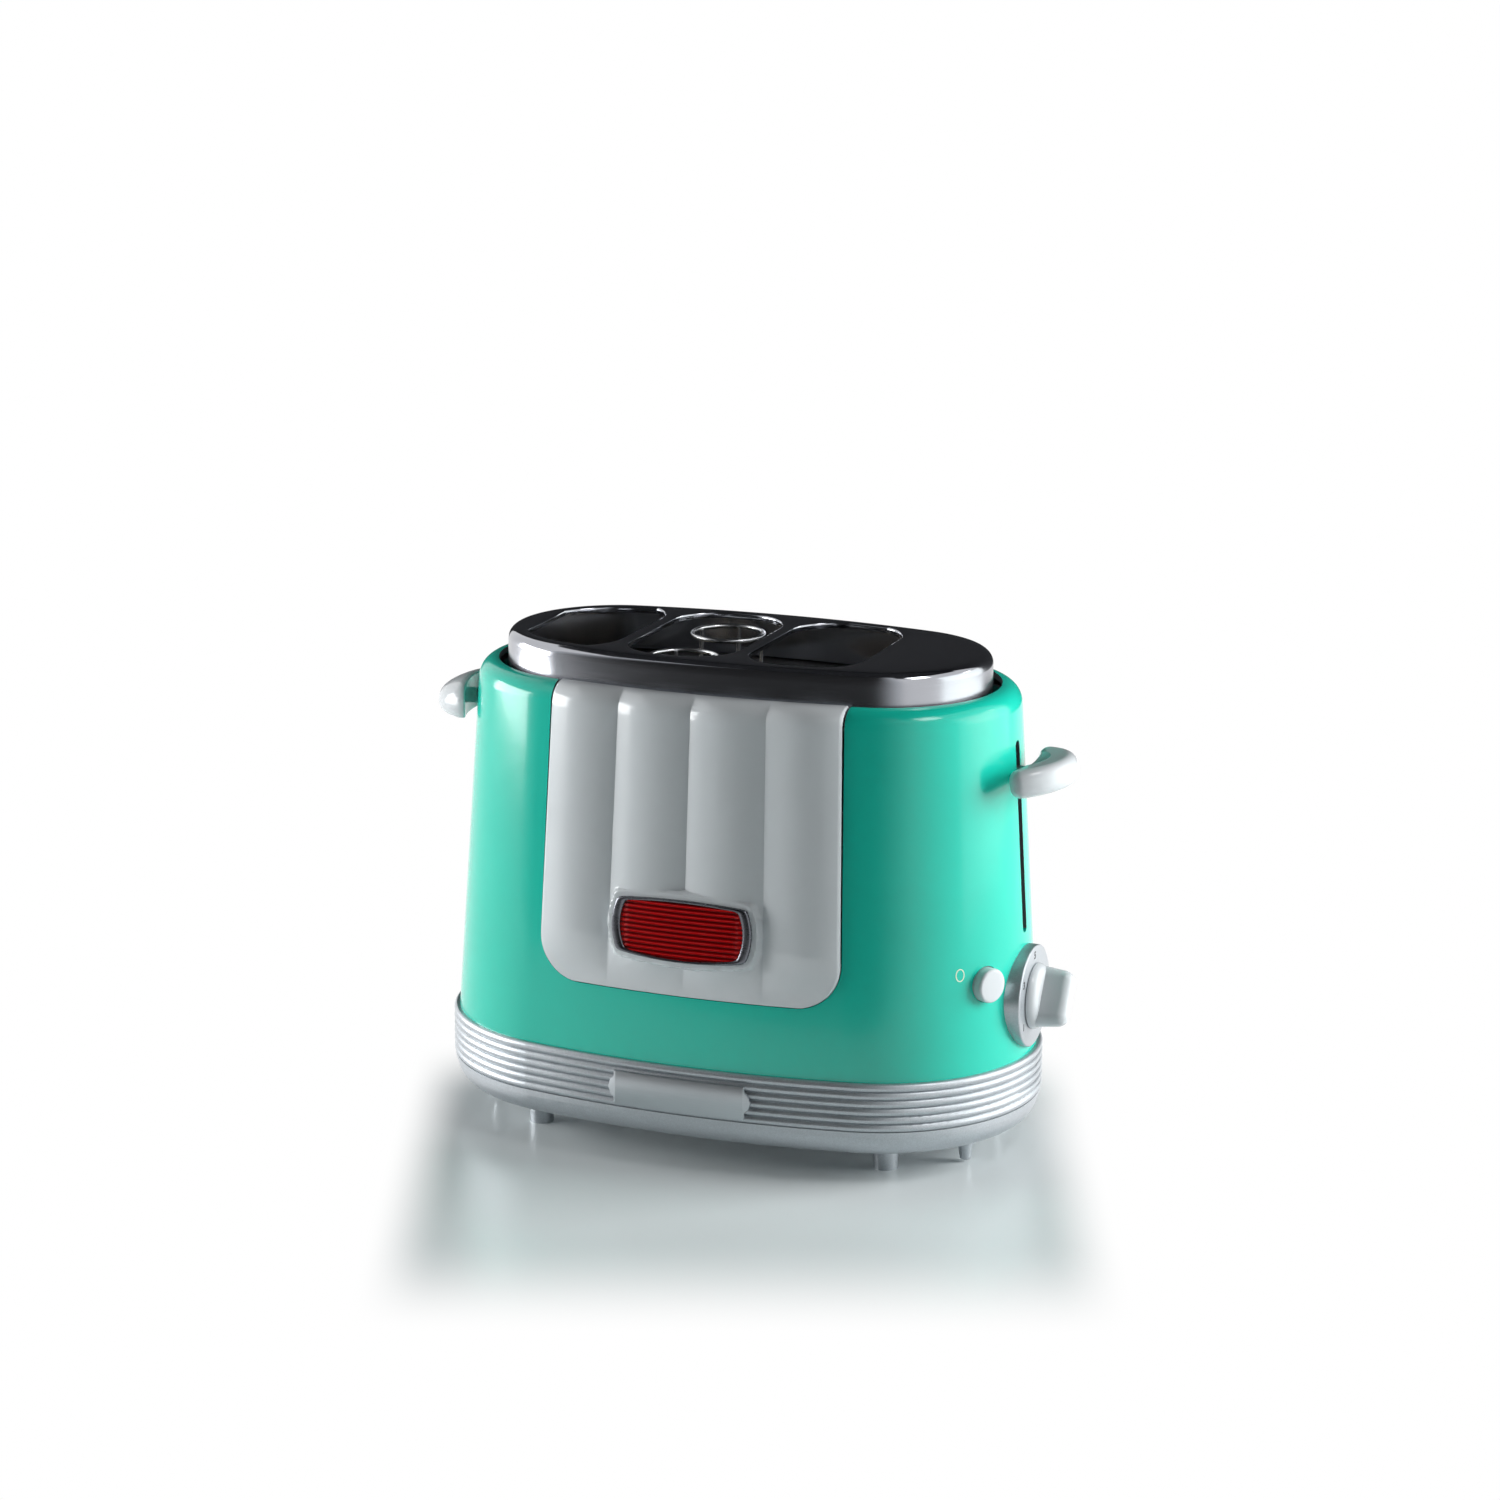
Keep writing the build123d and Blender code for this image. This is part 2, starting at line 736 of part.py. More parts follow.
def make_top_deck():
    deck = oval(-plate_flange_inset, deck_bottom, sheet)
    for x in (left_well_x, pattern_x, right_well_x):
        half = well_half_width if x == pattern_x else well_half_width - deck_lap
        deck -= well(x, half, well_half_length, min(well_corner, half - fit_gap), deck_bottom - overrun,
                     2 * overrun)
    return deck


def make_lower_deck():
    deck = box_between((left_plate_x + sheet, -lower_deck_half_depth, lower_deck_z),
                       (right_plate_x - sheet, lower_deck_half_depth, lower_deck_top))
    deck &= oval(-base_wall - panel_flange_lap, 0, tall)
    for x in (left_well_x, pattern_x, right_well_x):
        deck -= well(x, rest_half_width + rest_well_gap, rest_half_length + rest_well_gap, rest_well_corner,
                     lower_deck_z - overrun, 2 * overrun)
    return deck


def end_plate(x, half, foot_side):
    """Upright sheet with a folded foot and a slot for the lift bar."""
    inner = x - foot_side * sheet
    low_x, high_x = min(x, inner), max(x, inner)
    plate = box_between((low_x, -half, floor_top), (high_x, half, deck_bottom))
    foot_end = x - foot_side * end_foot
    plate += box_between((min(x, foot_end), -half, floor_top), (max(x, foot_end), half, floor_top + sheet))
    slot_low = carriage_low - travel_down - slot_end_gap
    slot_high = rest_top + travel_up + slot_end_gap
    plate -= box_between((low_x - sheet, -bar_slot_half, slot_low),
                         (high_x + sheet, bar_slot_half, slot_high))
    for screw_x, screw_y in screw_places():
        plate -= rod(screw_radius + fit_gap, screw_x, screw_y, 0, floor_top + overrun / 2)
    return plate


def heater_board(x, half):
    """Mica sheet between the decks, slotted for the lift bar."""
    edge = board_sheet / 2
    board = box_between((x - edge, -half, lower_deck_top), (x + edge, half, deck_bottom))
    slot_high = rest_top + travel_up + slot_end_gap
    slot = board_slot_half
    return board - box_between((x - board_sheet, -slot, 0), (x + board_sheet, slot, slot_high))


def board_places():
    """X and half width of each heater board, left to right."""
    between = well_pitch / 2
    return {
        "left_outer_heater": (left_plate_x + end_board_gap, left_plate_half),
        "left_inner_heater": (pattern_x - between, board_half),
        "right_inner_heater": (pattern_x + between, board_half),
        "right_outer_heater": (right_plate_x - sheet - end_board_gap, board_half)}


def make_bun_guards():
    wires = []
    for centre in (left_well_x, right_well_x):
        for side in (-1, 1):
            for index in range(guard_count):
                y = (index - (guard_count - 1) / 2) * guard_pitch
                x = centre + side * (well_half_width - guard_inset)
                wires.append(rod(guard_wire / 2, x, y, lower_deck_top, deck_bottom))
    return Compound(children=wires)


def sleeve(x):
    """Carriage sleeve that slides on a guide rod."""
    tube = rod(sleeve_radius, x, 0, carriage_low, sleeve_top)
    return tube, rod(rod_radius + running_clearance, x, 0, 0, tall)


def shell_end(z):
    """Outside of the shell's end at a height."""
    return body_half_length + wall_offset(z)


def root_x(stem_low):
    """Where a lever's root meets its stem, just outside the shell."""
    return shell_end(stem_low - travel_down) + stem_reach


def make_bun_carriage():
    tube, bore = sleeve(bun_rod_x)
    stem = box_between((bun_rod_x, -stem_half, bun_stem_low),
                       (root_x(bun_stem_low), stem_half, bun_stem_low + stem_height))
    arm_low = carriage_low + armature_sheet
    arm = box_between((bun_rod_x - sleeve_radius / 2, 0, arm_low),
                      (bun_rod_x + sleeve_radius, shelf_y + shelf_width, arm_low + armature_arm))
    return tube + stem + arm - bore


def make_latch_armature():
    low = carriage_low
    start = right_plate_x + magnet_start
    end = (start + magnet_length, shelf_y + shelf_width, low + armature_sheet)
    return box_between((start, shelf_y, low), end)


def make_bun_lift_bar():
    end = bun_rod_x - math.sqrt(sleeve_radius**2 - lift_bar_half**2) + fit_gap / 2
    bar = box_between((left_plate_x - lift_bar_tail, -lift_bar_half, carriage_low),
                      (end, lift_bar_half, rest_top))
    return bar - rod(sleeve_radius, bun_rod_x, 0, 0, tall)


def make_bun_rests():
    rests = []
    for x in (left_well_x, right_well_x):
        plate = Pos(x, 0, rest_top) * extrude(
            RectangleRounded(2 * rest_half_width, 2 * rest_half_length, rest_corner), amount=rest_sheet)
        for side in (-1, 1):
            for end in (-1, 1):
                edge = x + side * (rest_half_width - rest_sheet)
                near, far = (end * rest_half_length * share for share in rest_rib_shares)
                plate += box_between(
                    (edge - rest_sheet / 2, min(near, far), rest_top - rest_rib_height),
                    (edge + rest_sheet / 2, max(near, far), rest_top + rest_sheet / 2))
        rests.append(plate)
    return Compound(children=rests)


def make_sausage_carriage():
    tube, bore = sleeve(sausage_rod_x)
    stem = box_between((-root_x(sausage_stem_low), -stem_half, sausage_stem_low),
                       (sausage_rod_x, stem_half, sausage_stem_low + stem_height))
    reach = math.degrees(math.asin(arm_y / yoke_radius))
    section = Plane.XZ * (Pos(0, carriage_low + lift_bar_height / 2) * Rectangle(yoke_width, lift_bar_height))
    yoke = arc_sweep(section, (-end_centre, 0), yoke_radius, 180 - reach, 2 * reach)
    arm_start = -end_centre - math.sqrt(yoke_radius**2 - arm_y**2)
    frame = tube + stem + yoke
    for side in (-1, 1):
        y = side * arm_y
        frame += box_between((arm_start - arm_lap, y - arm_width / 2, carriage_low),
                             (pattern_x, y + arm_width / 2, rest_top))
    return frame - bore


def make_sausage_rests():
    rests = []
    for side in (-1, 1):
        y = side * sausage_y
        radius = ring_outer
        disc = rod(radius, pattern_x, y, rest_top, rest_top + rest_sheet)
        lip = rod(radius, pattern_x, y, rest_top, rest_top + rest_sheet + sausage_rest_lip)
        lip -= rod(radius - rest_sheet, pattern_x, y, 0, tall)
        rests.append(disc + lip)
    return Compound(children=rests)


def make_sausage_cage(side):
    """Wire ring under the plate, on uprights that stand on the sausage's rest."""
    y = side * sausage_y
    mean = ring_bore + ring_wire / 2 - rest_sheet
    cage = Pos(pattern_x, y, basket_top) * Torus(ring_bore + ring_wire / 2, ring_wire / 2)
    for index in range(basket_wires):
        angle = math.radians(side * (basket_wire_start + index * 360 / basket_wires))
        cage += rod(cage_wire / 2, pattern_x + mean * math.cos(angle), y + mean * math.sin(angle),
                    rest_top + rest_sheet, basket_top)
    return cage


def paddle(side, low, stem_low, short, tilt):
    """Dished crescent on the end of the shell, with a root that takes the stem."""
    centre = paddle_centre - short
    inner = end_radius_at(low - travel_down) + paddle_gap
    crescent = Pos(centre, 0) * Circle(paddle_radius) - Pos(end_centre, 0) * Circle(inner)
    crescent = fillet(crescent.vertices(), paddle_horn)
    body = extrude(crescent, amount=paddle_height)
    rims = body.faces().filter_by(Axis.Z).edges()
    body = fillet(rims, paddle_edge)
    body -= Pos(centre, 0, paddle_height - paddle_dish + paddle_dish_radius) * Sphere(paddle_dish_radius)
    body = Pos(centre, 0, low) * Rot(0, -tilt, 0) * Pos(-centre, 0, 0) * body
    body += box_between((root_x(stem_low), -paddle_root_half, stem_low),
                        (end_centre + inner + paddle_edge, paddle_root_half, stem_low + stem_height))
    return body if side > 0 else mirror(body, about=Plane.YZ)


def spring(x):
    """Round-wire coil between the seat in the base and the carriage above it."""
    top = carriage_low
    height = top - spring_seat - spring_wire
    pitch = height / spring_turns
    path = Helix(pitch, height, spring_mean_radius)
    start = path @ 0
    section = Plane(origin=start, z_dir=path % 0) * Circle(spring_wire / 2)
    coil = sweep(section, path=path, is_frenet=True)
    return Pos(x, 0, spring_seat + spring_wire / 2) * coil


dial_face_x = shell_end(dial_z) + dial_proud
knob_reach = dial_face_x + fit_gap + knob_proud


def make_dial_bezel():
    disc = bar_x(dial_radius, 0, dial_z, end_centre, dial_face_x)
    rim = bar_x(dial_radius, 0, dial_z, dial_face_x - dial_rim_height, dial_face_x + dial_rim_height)
    rim -= bar_x(dial_radius - dial_rim_width, 0, dial_z, end_centre, dial_face_x + overrun)
    body = disc + rim
    solid = ring(band_profile(-body_end_radius / 2, 0, base_bottom, lip_height - shoulder_radius))
    body -= solid
    body -= box_between((0, -overrun, 0), (end_centre + body_end_radius / 2, overrun, tall))
    body -= bar_x(shaft_radius + running_clearance, 0, dial_z, 0, body_half_length + overrun)
    return body


def make_knob():
    back = dial_face_x + fit_gap
    skirt = bar_x(knob_radius, 0, dial_z, back, back + knob_skirt)
    skirt = chamfer(skirt.faces().sort_by(Axis.X)[-1].edges(), knob_edge)
    grip = box_between((back, -knob_bar_half, -knob_bar_length), (knob_reach, knob_bar_half, knob_bar_length))
    grip &= bar_x(knob_bar_length, 0, 0, 0, knob_reach + overrun)
    grip = fillet(grip.faces().sort_by(Axis.X)[-1].edges(), knob_edge)
    grip = Pos(0, 0, dial_z) * Rot(-knob_turned, 0, 0) * grip
    return skirt + grip - bar_x(shaft_radius, 0, dial_z, 0, back + shaft_depth)


def make_knob_shaft():
    start = board_x + control_sheet + fit_gap
    return bar_x(shaft_radius, 0, dial_z, start, dial_face_x + fit_gap + shaft_depth)


def make_timer_pot():
    start = board_x + control_sheet
    body = bar_x(pot_radius, 0, dial_z, start, start + pot_depth)
    body += bar_x(bush_radius, 0, dial_z, start, start + pot_depth + bush_depth)
    return body - bar_x(shaft_radius + running_clearance, 0, dial_z, 0, body_half_length + overrun)


def button_disc(radius, low, high):
    """Round slice of the button along its own axis."""
    return radial(button_angle, button_z) * Pos(0, 0, low) * Cylinder(
        radius, high - low, align=(Align.CENTER, Align.CENTER, Align.MIN))


def make_stop_button():
    face = end_radius_at(button_z)
    inside = face - shell_wall - 2 * fit_gap
    inside -= button_radius**2 / (2 * face)
    cap = button_disc(button_radius, inside - button_flange, face + button_proud)
    outer = max(cap.faces(), key=lambda f: (f.center() - Vector(end_centre, 0, button_z)).length)
    cap = fillet(outer.edges(), button_edge)
    flange = button_disc(button_radius + button_flange_lap, inside - button_flange, inside)
    flange -= ring(wall_profile(-shell_wall - fit_gap, 0, seam_height))
    stem = button_disc(button_stem_radius, inside - button_flange - button_stem, inside)
    return cap + flange + stem


def make_stop_switch():
    face = end_radius_at(button_z)
    inside = face - shell_wall - 2 * fit_gap - button_radius**2 / (2 * face)
    front = inside - button_flange - button_stem - button_travel - fit_gap
    block = radial(button_angle, button_z) * Pos(0, 0, front - switch_depth / 2) * Box(
        2 * switch_half, 2 * switch_half, switch_depth)
    return block & box_between((board_x + control_sheet, -body_half_depth, 0), (body_half_length, 0, tall))


def make_control_board():
    return box_between((board_x, -control_half, floor_top),
                       (board_x + control_sheet, control_half, control_top))


def make_magnet_shelf():
    shelf = box_between((right_plate_x, shelf_y, shelf_z),
                        (right_plate_x + shelf_length, shelf_y + shelf_width, shelf_z + sheet))
    fold = box_between((right_plate_x, shelf_y, shelf_z - shelf_width),
                       (right_plate_x + sheet, shelf_y + shelf_width, shelf_z + sheet))
    return shelf + fold


def make_latch_magnet():
    start = right_plate_x + magnet_start
    low = shelf_z + sheet
    high = carriage_low - travel_down - armature_gap
    y0, y1 = shelf_y + magnet_inset, shelf_y + shelf_width - magnet_inset
    core = box_between((start, y0 + coil_inset, low), (start + magnet_length, y1 - coil_inset, high))
    coil = box_between((start + coil_inset, y0, low + coil_inset),
                       (start + magnet_length - coil_inset, y1, high - coil_inset))
    return core + coil


def make_crumb_tray():
    x0, x1 = pattern_x - tray_half, pattern_x + tray_half
    back = body_half_depth - ridge_pitch
    tray = box_between((x0, tray_front, tray_low), (x1, back + overrun, tray_low + tray_height))
    tray -= box_between((x0 + tray_wall, tray_front + tray_wall, tray_low + tray_wall),
                        (x1 - tray_wall, back + 2 * overrun, tray_low + tray_height + overrun))
    return tray & oval(-base_wall, 0, tall)


def make_tray_front():
    high = tray_low + tray_height
    band = make_face(Polyline((-base_wall, tray_low), (ridge_crest, tray_low),
                              (ridge_crest, high), (-base_wall, high), close=True))
    front = ring(band) & back_prism(tray_slot_outline(0))
    middle = tray_low + tray_height / 2
    edge = tray_grip_sheet / 2
    reach = body_half_depth + tray_grip_reach
    grip = box_between((pattern_x - tray_grip_half, body_half_depth - base_wall, middle - edge),
                       (pattern_x + tray_grip_half, reach, middle + edge))
    grip = fillet(grip.edges().filter_by(Axis.Z).sort_by(Axis.Y)[-2:], tray_grip_reach / 2)
    return front + (grip - oval(-base_wall, 0, tall))


def make_cord_inlet():
    face = body_end_radius + ridge_crest + fit_gap
    flange = radial(inlet_angle, inlet_z) * Pos(0, 0, face) * Cylinder(
        inlet_flange, inlet_flange_depth, align=(Align.CENTER, Align.CENTER, Align.MIN))
    tube = radial(inlet_angle, inlet_z) * Pos(0, 0, body_end_radius - base_wall) * Cylinder(
        inlet_radius, face - body_end_radius + base_wall, align=(Align.CENTER, Align.CENTER, Align.MIN))
    bore = radial(inlet_angle, inlet_z) * Cylinder(
        inlet_bore, face + overrun, align=(Align.CENTER, Align.CENTER, Align.MIN))
    return flange + tube - bore


def make_base_screws():
    screws = []
    for x, y in screw_places():
        head = rod(screw_head_radius, x, y, base_bottom - screw_head, base_bottom)
        screws.append(head + rod(screw_radius, x, y, base_bottom - screw_head, base_bottom + screw_length))
    return Compound(children=screws)


parts = {
    "shell": make_shell(),
    "front_panel": make_front_panel(),
    "badge_bezel": make_badge_bezel(),
    "badge_insert": make_badge_insert(),
    "base": make_base(),
    "name_plate": make_name_plate(),
    "feet": make_feet(),
    "cord_posts": make_cord_posts(),
    "cord_inlet": make_cord_inlet(),
    "base_screws": make_base_screws(),
    "top_plate": make_top_plate(),
    "top_deck": make_top_deck(),
    "lower_deck": make_lower_deck(),
    "left_end_plate": end_plate(left_plate_x, left_plate_half, -1),
    "right_end_plate": end_plate(right_plate_x, right_plate_half, 1),
    "bun_guards": make_bun_guards(),
    "bun_guide_rod": rod(rod_radius, bun_rod_x, 0, floor_top, deck_bottom),
    "sausage_guide_rod": rod(rod_radius, sausage_rod_x, 0, floor_top, deck_bottom),
    "bun_spring": spring(bun_rod_x),
    "sausage_spring": spring(sausage_rod_x),
    "bun_carriage": make_bun_carriage(),
    "bun_lift_bar": make_bun_lift_bar(),
    "bun_rests": make_bun_rests(),
    "latch_armature": make_latch_armature(),
    "start_lever": paddle(1, start_paddle_low, bun_stem_low, 0, paddle_tilt),
    "sausage_carriage": make_sausage_carriage(),
    "sausage_rests": make_sausage_rests(),
    "front_sausage_cage": make_sausage_cage(-1),
    "back_sausage_cage": make_sausage_cage(1),
    "lift_lever": paddle(-1, lift_paddle_low, sausage_stem_low, lift_paddle_short, -paddle_tilt),
    "dial_bezel": make_dial_bezel(),
    "browning_knob": make_knob(),
    "knob_shaft": make_knob_shaft(),
    "timer_pot": make_timer_pot(),
    "stop_button": make_stop_button(),
    "stop_switch": make_stop_switch(),
    "control_board": make_control_board(),
    "magnet_shelf": make_magnet_shelf(),
    "latch_magnet": make_latch_magnet(),
    "crumb_tray": make_crumb_tray(),
    "tray_front": make_tray_front(),
}
for board_name, (board_place, board_width) in board_places().items():
    parts[board_name] = heater_board(board_place, board_width)

os.makedirs("parts", exist_ok=True)
for node, shape in parts.items():
    export_step(shape, f"parts/{node}.step")
print(len(parts), "nodes")
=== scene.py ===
# %% [markdown]
# # A table-top hot dog maker
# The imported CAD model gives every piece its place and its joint. This lesson dresses it. The gloss
# mouldings, the polished top, the dial, the badge, the left lever and the springs are modelled again with
# soft edges. The base, the right lever and the inner metalwork keep their CAD meshes. Every piece gets a
# finish made of nodes.

# %% The frame
import json
import math

import bmesh
import bpy
from mathutils import Matrix, Vector


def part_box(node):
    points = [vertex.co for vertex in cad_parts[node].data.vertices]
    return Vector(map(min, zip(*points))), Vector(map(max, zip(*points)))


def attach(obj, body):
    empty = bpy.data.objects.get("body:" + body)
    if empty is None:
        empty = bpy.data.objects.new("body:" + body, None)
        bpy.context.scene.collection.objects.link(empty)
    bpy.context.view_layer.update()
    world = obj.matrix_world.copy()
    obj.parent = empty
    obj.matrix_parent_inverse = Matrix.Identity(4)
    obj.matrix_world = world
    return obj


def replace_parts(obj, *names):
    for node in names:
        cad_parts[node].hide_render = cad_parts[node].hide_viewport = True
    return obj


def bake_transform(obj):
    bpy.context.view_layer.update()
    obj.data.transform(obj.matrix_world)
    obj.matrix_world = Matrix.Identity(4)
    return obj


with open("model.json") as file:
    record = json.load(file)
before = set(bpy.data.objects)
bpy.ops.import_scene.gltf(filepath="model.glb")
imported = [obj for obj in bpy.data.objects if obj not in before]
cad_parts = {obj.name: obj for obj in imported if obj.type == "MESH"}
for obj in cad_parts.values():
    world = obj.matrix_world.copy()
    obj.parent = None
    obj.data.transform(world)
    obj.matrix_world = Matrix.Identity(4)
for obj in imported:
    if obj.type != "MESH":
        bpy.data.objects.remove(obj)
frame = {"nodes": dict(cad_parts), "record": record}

scene = bpy.context.scene
scene.view_settings.view_transform = "Standard"
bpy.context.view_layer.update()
mm = 0.001

# %% [markdown]
# ## The camera
# The photograph was taken with a long lens from the front right, a little above the lid. A camera
# could be aimed with a constraint, but its three axes written out keep the small roll as well. Its place
# follows from where the middle of the seam lies in the picture.

# %% Camera
look_azimuth = math.radians(20.86)
look_elevation = math.radians(14.02)
look_roll = math.radians(-0.45)
focal_px, frame_px = 4036.0, 1500.0
seam = 45.0
seam_depth = 1.739
seam_left_px, seam_below_px = 4.75, 265.38

level_right = Vector((math.cos(look_azimuth), math.sin(look_azimuth), 0))
level_up = Vector((-math.sin(look_azimuth) * math.sin(look_elevation),
                   math.cos(look_azimuth) * math.sin(look_elevation), math.cos(look_elevation)))
look_right = level_right * math.cos(look_roll) - level_up * math.sin(look_roll)
look_up = level_right * math.sin(look_roll) + level_up * math.cos(look_roll)
look_back = look_right.cross(look_up)

lens = bpy.data.cameras.new("camera")
lens.sensor_width = 36
lens.lens = lens.sensor_width * focal_px / frame_px
lens.clip_end = 60
camera = bpy.data.objects.new("camera", lens)
eye = (Vector((0, 0, seam)) * mm + look_back * seam_depth
       + (look_right * seam_left_px + look_up * seam_below_px) * seam_depth / focal_px)
camera.matrix_world = Matrix.Translation(eye) @ Matrix((look_right, look_up, look_back)).transposed().to_4x4()
scene.collection.objects.link(camera)
scene.camera = camera
print("camera at", tuple(round(c, 3) for c in eye))

# %% [markdown]
# ## Finishes
# A finish is a small tree of nodes. Written node by node it is long and hard to follow, so a wire wraps
# a socket: sums on wires add Math nodes by themselves, and one method adds any other node.


# %% Wires and trees
class Wire:
    """A node's socket that takes part in Python sums."""

    def __init__(self, owner, socket):
        self.owner = owner
        self.socket = socket

    def joined(self, operation, first, second):
        return self.owner.add("ShaderNodeMath", {"operation": operation}, {0: first, 1: second})

    def __add__(self, other):
        return self.joined("ADD", self, other)

    def __radd__(self, other):
        return self.joined("ADD", other, self)

    def __sub__(self, other):
        return self.joined("SUBTRACT", self, other)

    def __rsub__(self, other):
        return self.joined("SUBTRACT", other, self)

    def __mul__(self, other):
        return self.joined("MULTIPLY", self, other)

    def __rmul__(self, other):
        return self.joined("MULTIPLY", other, self)


class Tree:
    """A node tree that one method fills."""

    def __init__(self, tree):
        self.tree = tree
        self.tree.nodes.clear()

    def add(self, kind, settings=None, sockets=None, out=0):
        """A new node with its settings and sockets, as a wire from one of its outputs."""
        node = self.tree.nodes.new(kind)
        for key, value in (settings or {}).items():
            setattr(node, key, value)
        for key, value in (sockets or {}).items():
            if isinstance(value, Wire):
                self.tree.links.new(value.socket, node.inputs[key])
            else:
                node.inputs[key].default_value = value
        return Wire(self, node.outputs[out]) if len(node.outputs) else node


class Finish(Tree):
    """A material built from nodes, with a Principled shader as its surface."""

    def __init__(self, name):
        self.material = bpy.data.materials.new(name)
        self.material.use_nodes = True
        super().__init__(self.material.node_tree)
        self.place = self.add("ShaderNodeTexCoord", out="Object")

    def noise(self, scale, detail=2.0, stretch=None):
        """Soft clouds, or streaks where the pattern is stretched."""
        place = self.place
        if stretch:
            place = self.add("ShaderNodeMapping", None, {"Vector": place, "Scale": stretch})
        return self.add("ShaderNodeTexNoise", None,
                        {"Vector": place, "Scale": scale, "Detail": detail}, "Fac")

    def along(self, axis):
        """One coordinate of the place on the piece."""
        return self.add("ShaderNodeSeparateXYZ", None, {0: self.place}, axis)

    def ramp(self, value, start, end):
        """A smooth step from nought to one between two values."""
        return self.add("ShaderNodeMapRange", {"interpolation_type": "SMOOTHSTEP"},
                        {"Value": value, "From Min": start, "From Max": end})

    def blend(self, factor, first, second):
        """Colour between two colours."""
        return self.add("ShaderNodeMix", {"data_type": "RGBA"}, {"Factor": factor, 6: first, 7: second}, 2)

    def bump(self, height, strength, distance):
        return self.add("ShaderNodeBump", None,
                        {"Height": height, "Strength": strength, "Distance": distance})

    def surface(self, **sockets):
        shader = self.add("ShaderNodeBsdfPrincipled", None,
                          {key.replace("_", " "): value for key, value in sockets.items()})
        self.add("ShaderNodeOutputMaterial", None, {"Surface": shader})
        return self.material


def ink(red, green, blue):
    """Linear colour from the eight-bit values that a colour chart gives."""
    shares = [value / 255 for value in (red, green, blue)]
    return tuple(share / 12.92 if share <= 0.04045 else ((share + 0.055) / 1.055) ** 2.4
                 for share in shares) + (1.0,)


def shaded(colour, factor):
    """The same colour, deeper or paler."""
    return tuple(min(1.0, channel * factor) for channel in colour[:3]) + (1.0,)


finishes = {}
print("middle grey in linear light", ink(128, 128, 128)[0])

# %% [markdown]
# ### Gloss mouldings
# The shell, panel, levers and knobs are injection-moulded and polished. Such plastic is never one flat
# colour: it has faint clouds in the pigment, dull patches where it is handled, and an orange-peel skin.


# %% Gloss plastic
def gloss_moulding(name, colour):
    finish = Finish(name)
    clouds = finish.noise(22.0)
    handled = finish.noise(70.0, 3.0)
    skin = finish.noise(900.0, 1.0)
    finishes[name] = finish.surface(
        Base_Color=finish.blend(clouds, shaded(colour, 0.94), shaded(colour, 1.05)),
        Roughness=0.12 + 0.08 * handled, Coat_Weight=0.15, Coat_Roughness=0.04,
        Normal=finish.bump(skin, 0.05, 0.00006))


gloss_moulding("teal_gloss", ink(24, 201, 177))
gloss_moulding("pale_gloss", ink(215, 220, 223))
gloss_moulding("white_gloss", ink(208, 213, 216))
print(len(finishes), "gloss finishes")

# %% [markdown]
# ### The badge's red window
# The window is clear red plastic over a dark backing, with a level rib every two millimetres. A wave of
# the height paints shade between the ribs, so the red is darker in the valleys. The pitch is the upright
# measure of the ribs on the leaning wall.

# %% Red window
lens_pitch, lens_middle = 2.096, 103.54


def ribbed_lens(name, colour, valley):
    finish = Finish(name)
    # Painted shade: the wave darkens the red in the valleys between the ribs.
    painted_rib_shade = finish.add("ShaderNodeMath", {"operation": "COSINE"},
                      {0: (finish.along("Z") - lens_middle * mm) * (2 * math.pi / (lens_pitch * mm))})
    clouds = finish.noise(60.0)
    finishes[name] = finish.surface(
        Base_Color=finish.blend(painted_rib_shade * 0.45 + 0.5 + 0.1 * clouds, valley, colour),
        Roughness=0.16 + 0.1 * clouds, Specular_IOR_Level=0.3)


# The second, darker red is the painted shade in the valleys between the ribs.
ribbed_lens("red_gloss", ink(208, 4, 9), ink(58, 0, 2))
print("red ribs every", lens_pitch, "mm")

# %% [markdown]
# ### Metals and paint
# The base is plastic with an aluminium-flake paint, and what sits inside is plain sheet and wire. Voronoi
# cells stand for the flakes, and noise that is stretched along one axis for brushing.


# %% Metals
def flake_paint(name, colour):
    finish = Finish(name)
    flakes = finish.add("ShaderNodeTexVoronoi", None, {"Vector": finish.place, "Scale": 2600.0}, "Color")
    sparkle = finish.add("ShaderNodeSeparateColor", None, {"Color": flakes})
    clouds = finish.noise(40.0)
    finishes[name] = finish.surface(
        Base_Color=finish.blend(sparkle, shaded(colour, 0.86), colour), Metallic=0.78,
        Roughness=0.30 + 0.10 * clouds + 0.05 * sparkle, Coat_Weight=0.25, Coat_Roughness=0.12)


def sheet_metal(name, colour, dull, grain, stretch, metallic=1.0):
    finish = Finish(name)
    streaks = finish.noise(grain, 3.0, stretch)
    clouds = finish.noise(30.0)
    finishes[name] = finish.surface(
        Base_Color=finish.blend(streaks * 0.7 + clouds * 0.3, shaded(colour, 0.82), colour),
        Metallic=metallic, Roughness=dull + 0.12 * streaks, Normal=finish.bump(streaks, 0.04, 0.00005))


flake_paint("silver_paint", ink(186, 192, 197))
sheet_metal("satin_steel", ink(190, 196, 200), 0.26, 90.0, (1, 1, 40))
sheet_metal("inner_steel", ink(158, 160, 162), 0.30, 110.0, (3, 3, 12))
sheet_metal("wire_steel", ink(205, 207, 209), 0.16, 300.0, (1, 1, 6))
sheet_metal("dark_chrome", ink(112, 114, 120), 0.22, 120.0, (1, 1, 8))
sheet_metal("magnet_iron", ink(74, 62, 52), 0.45, 160.0, (1, 1, 10), 0.85)
sheet_metal("ribbon_alloy", ink(140, 118, 100), 0.42, 200.0, (1, 6, 1), 0.9)
print(len(finishes), "finishes with the metals")

# %% [markdown]
# ### Polished top
# The flat of the lid is a near mirror, while its skirt shows the fine level brushing of the press tool.
# Two materials would meet in a hard line, so the height decides between the two looks.


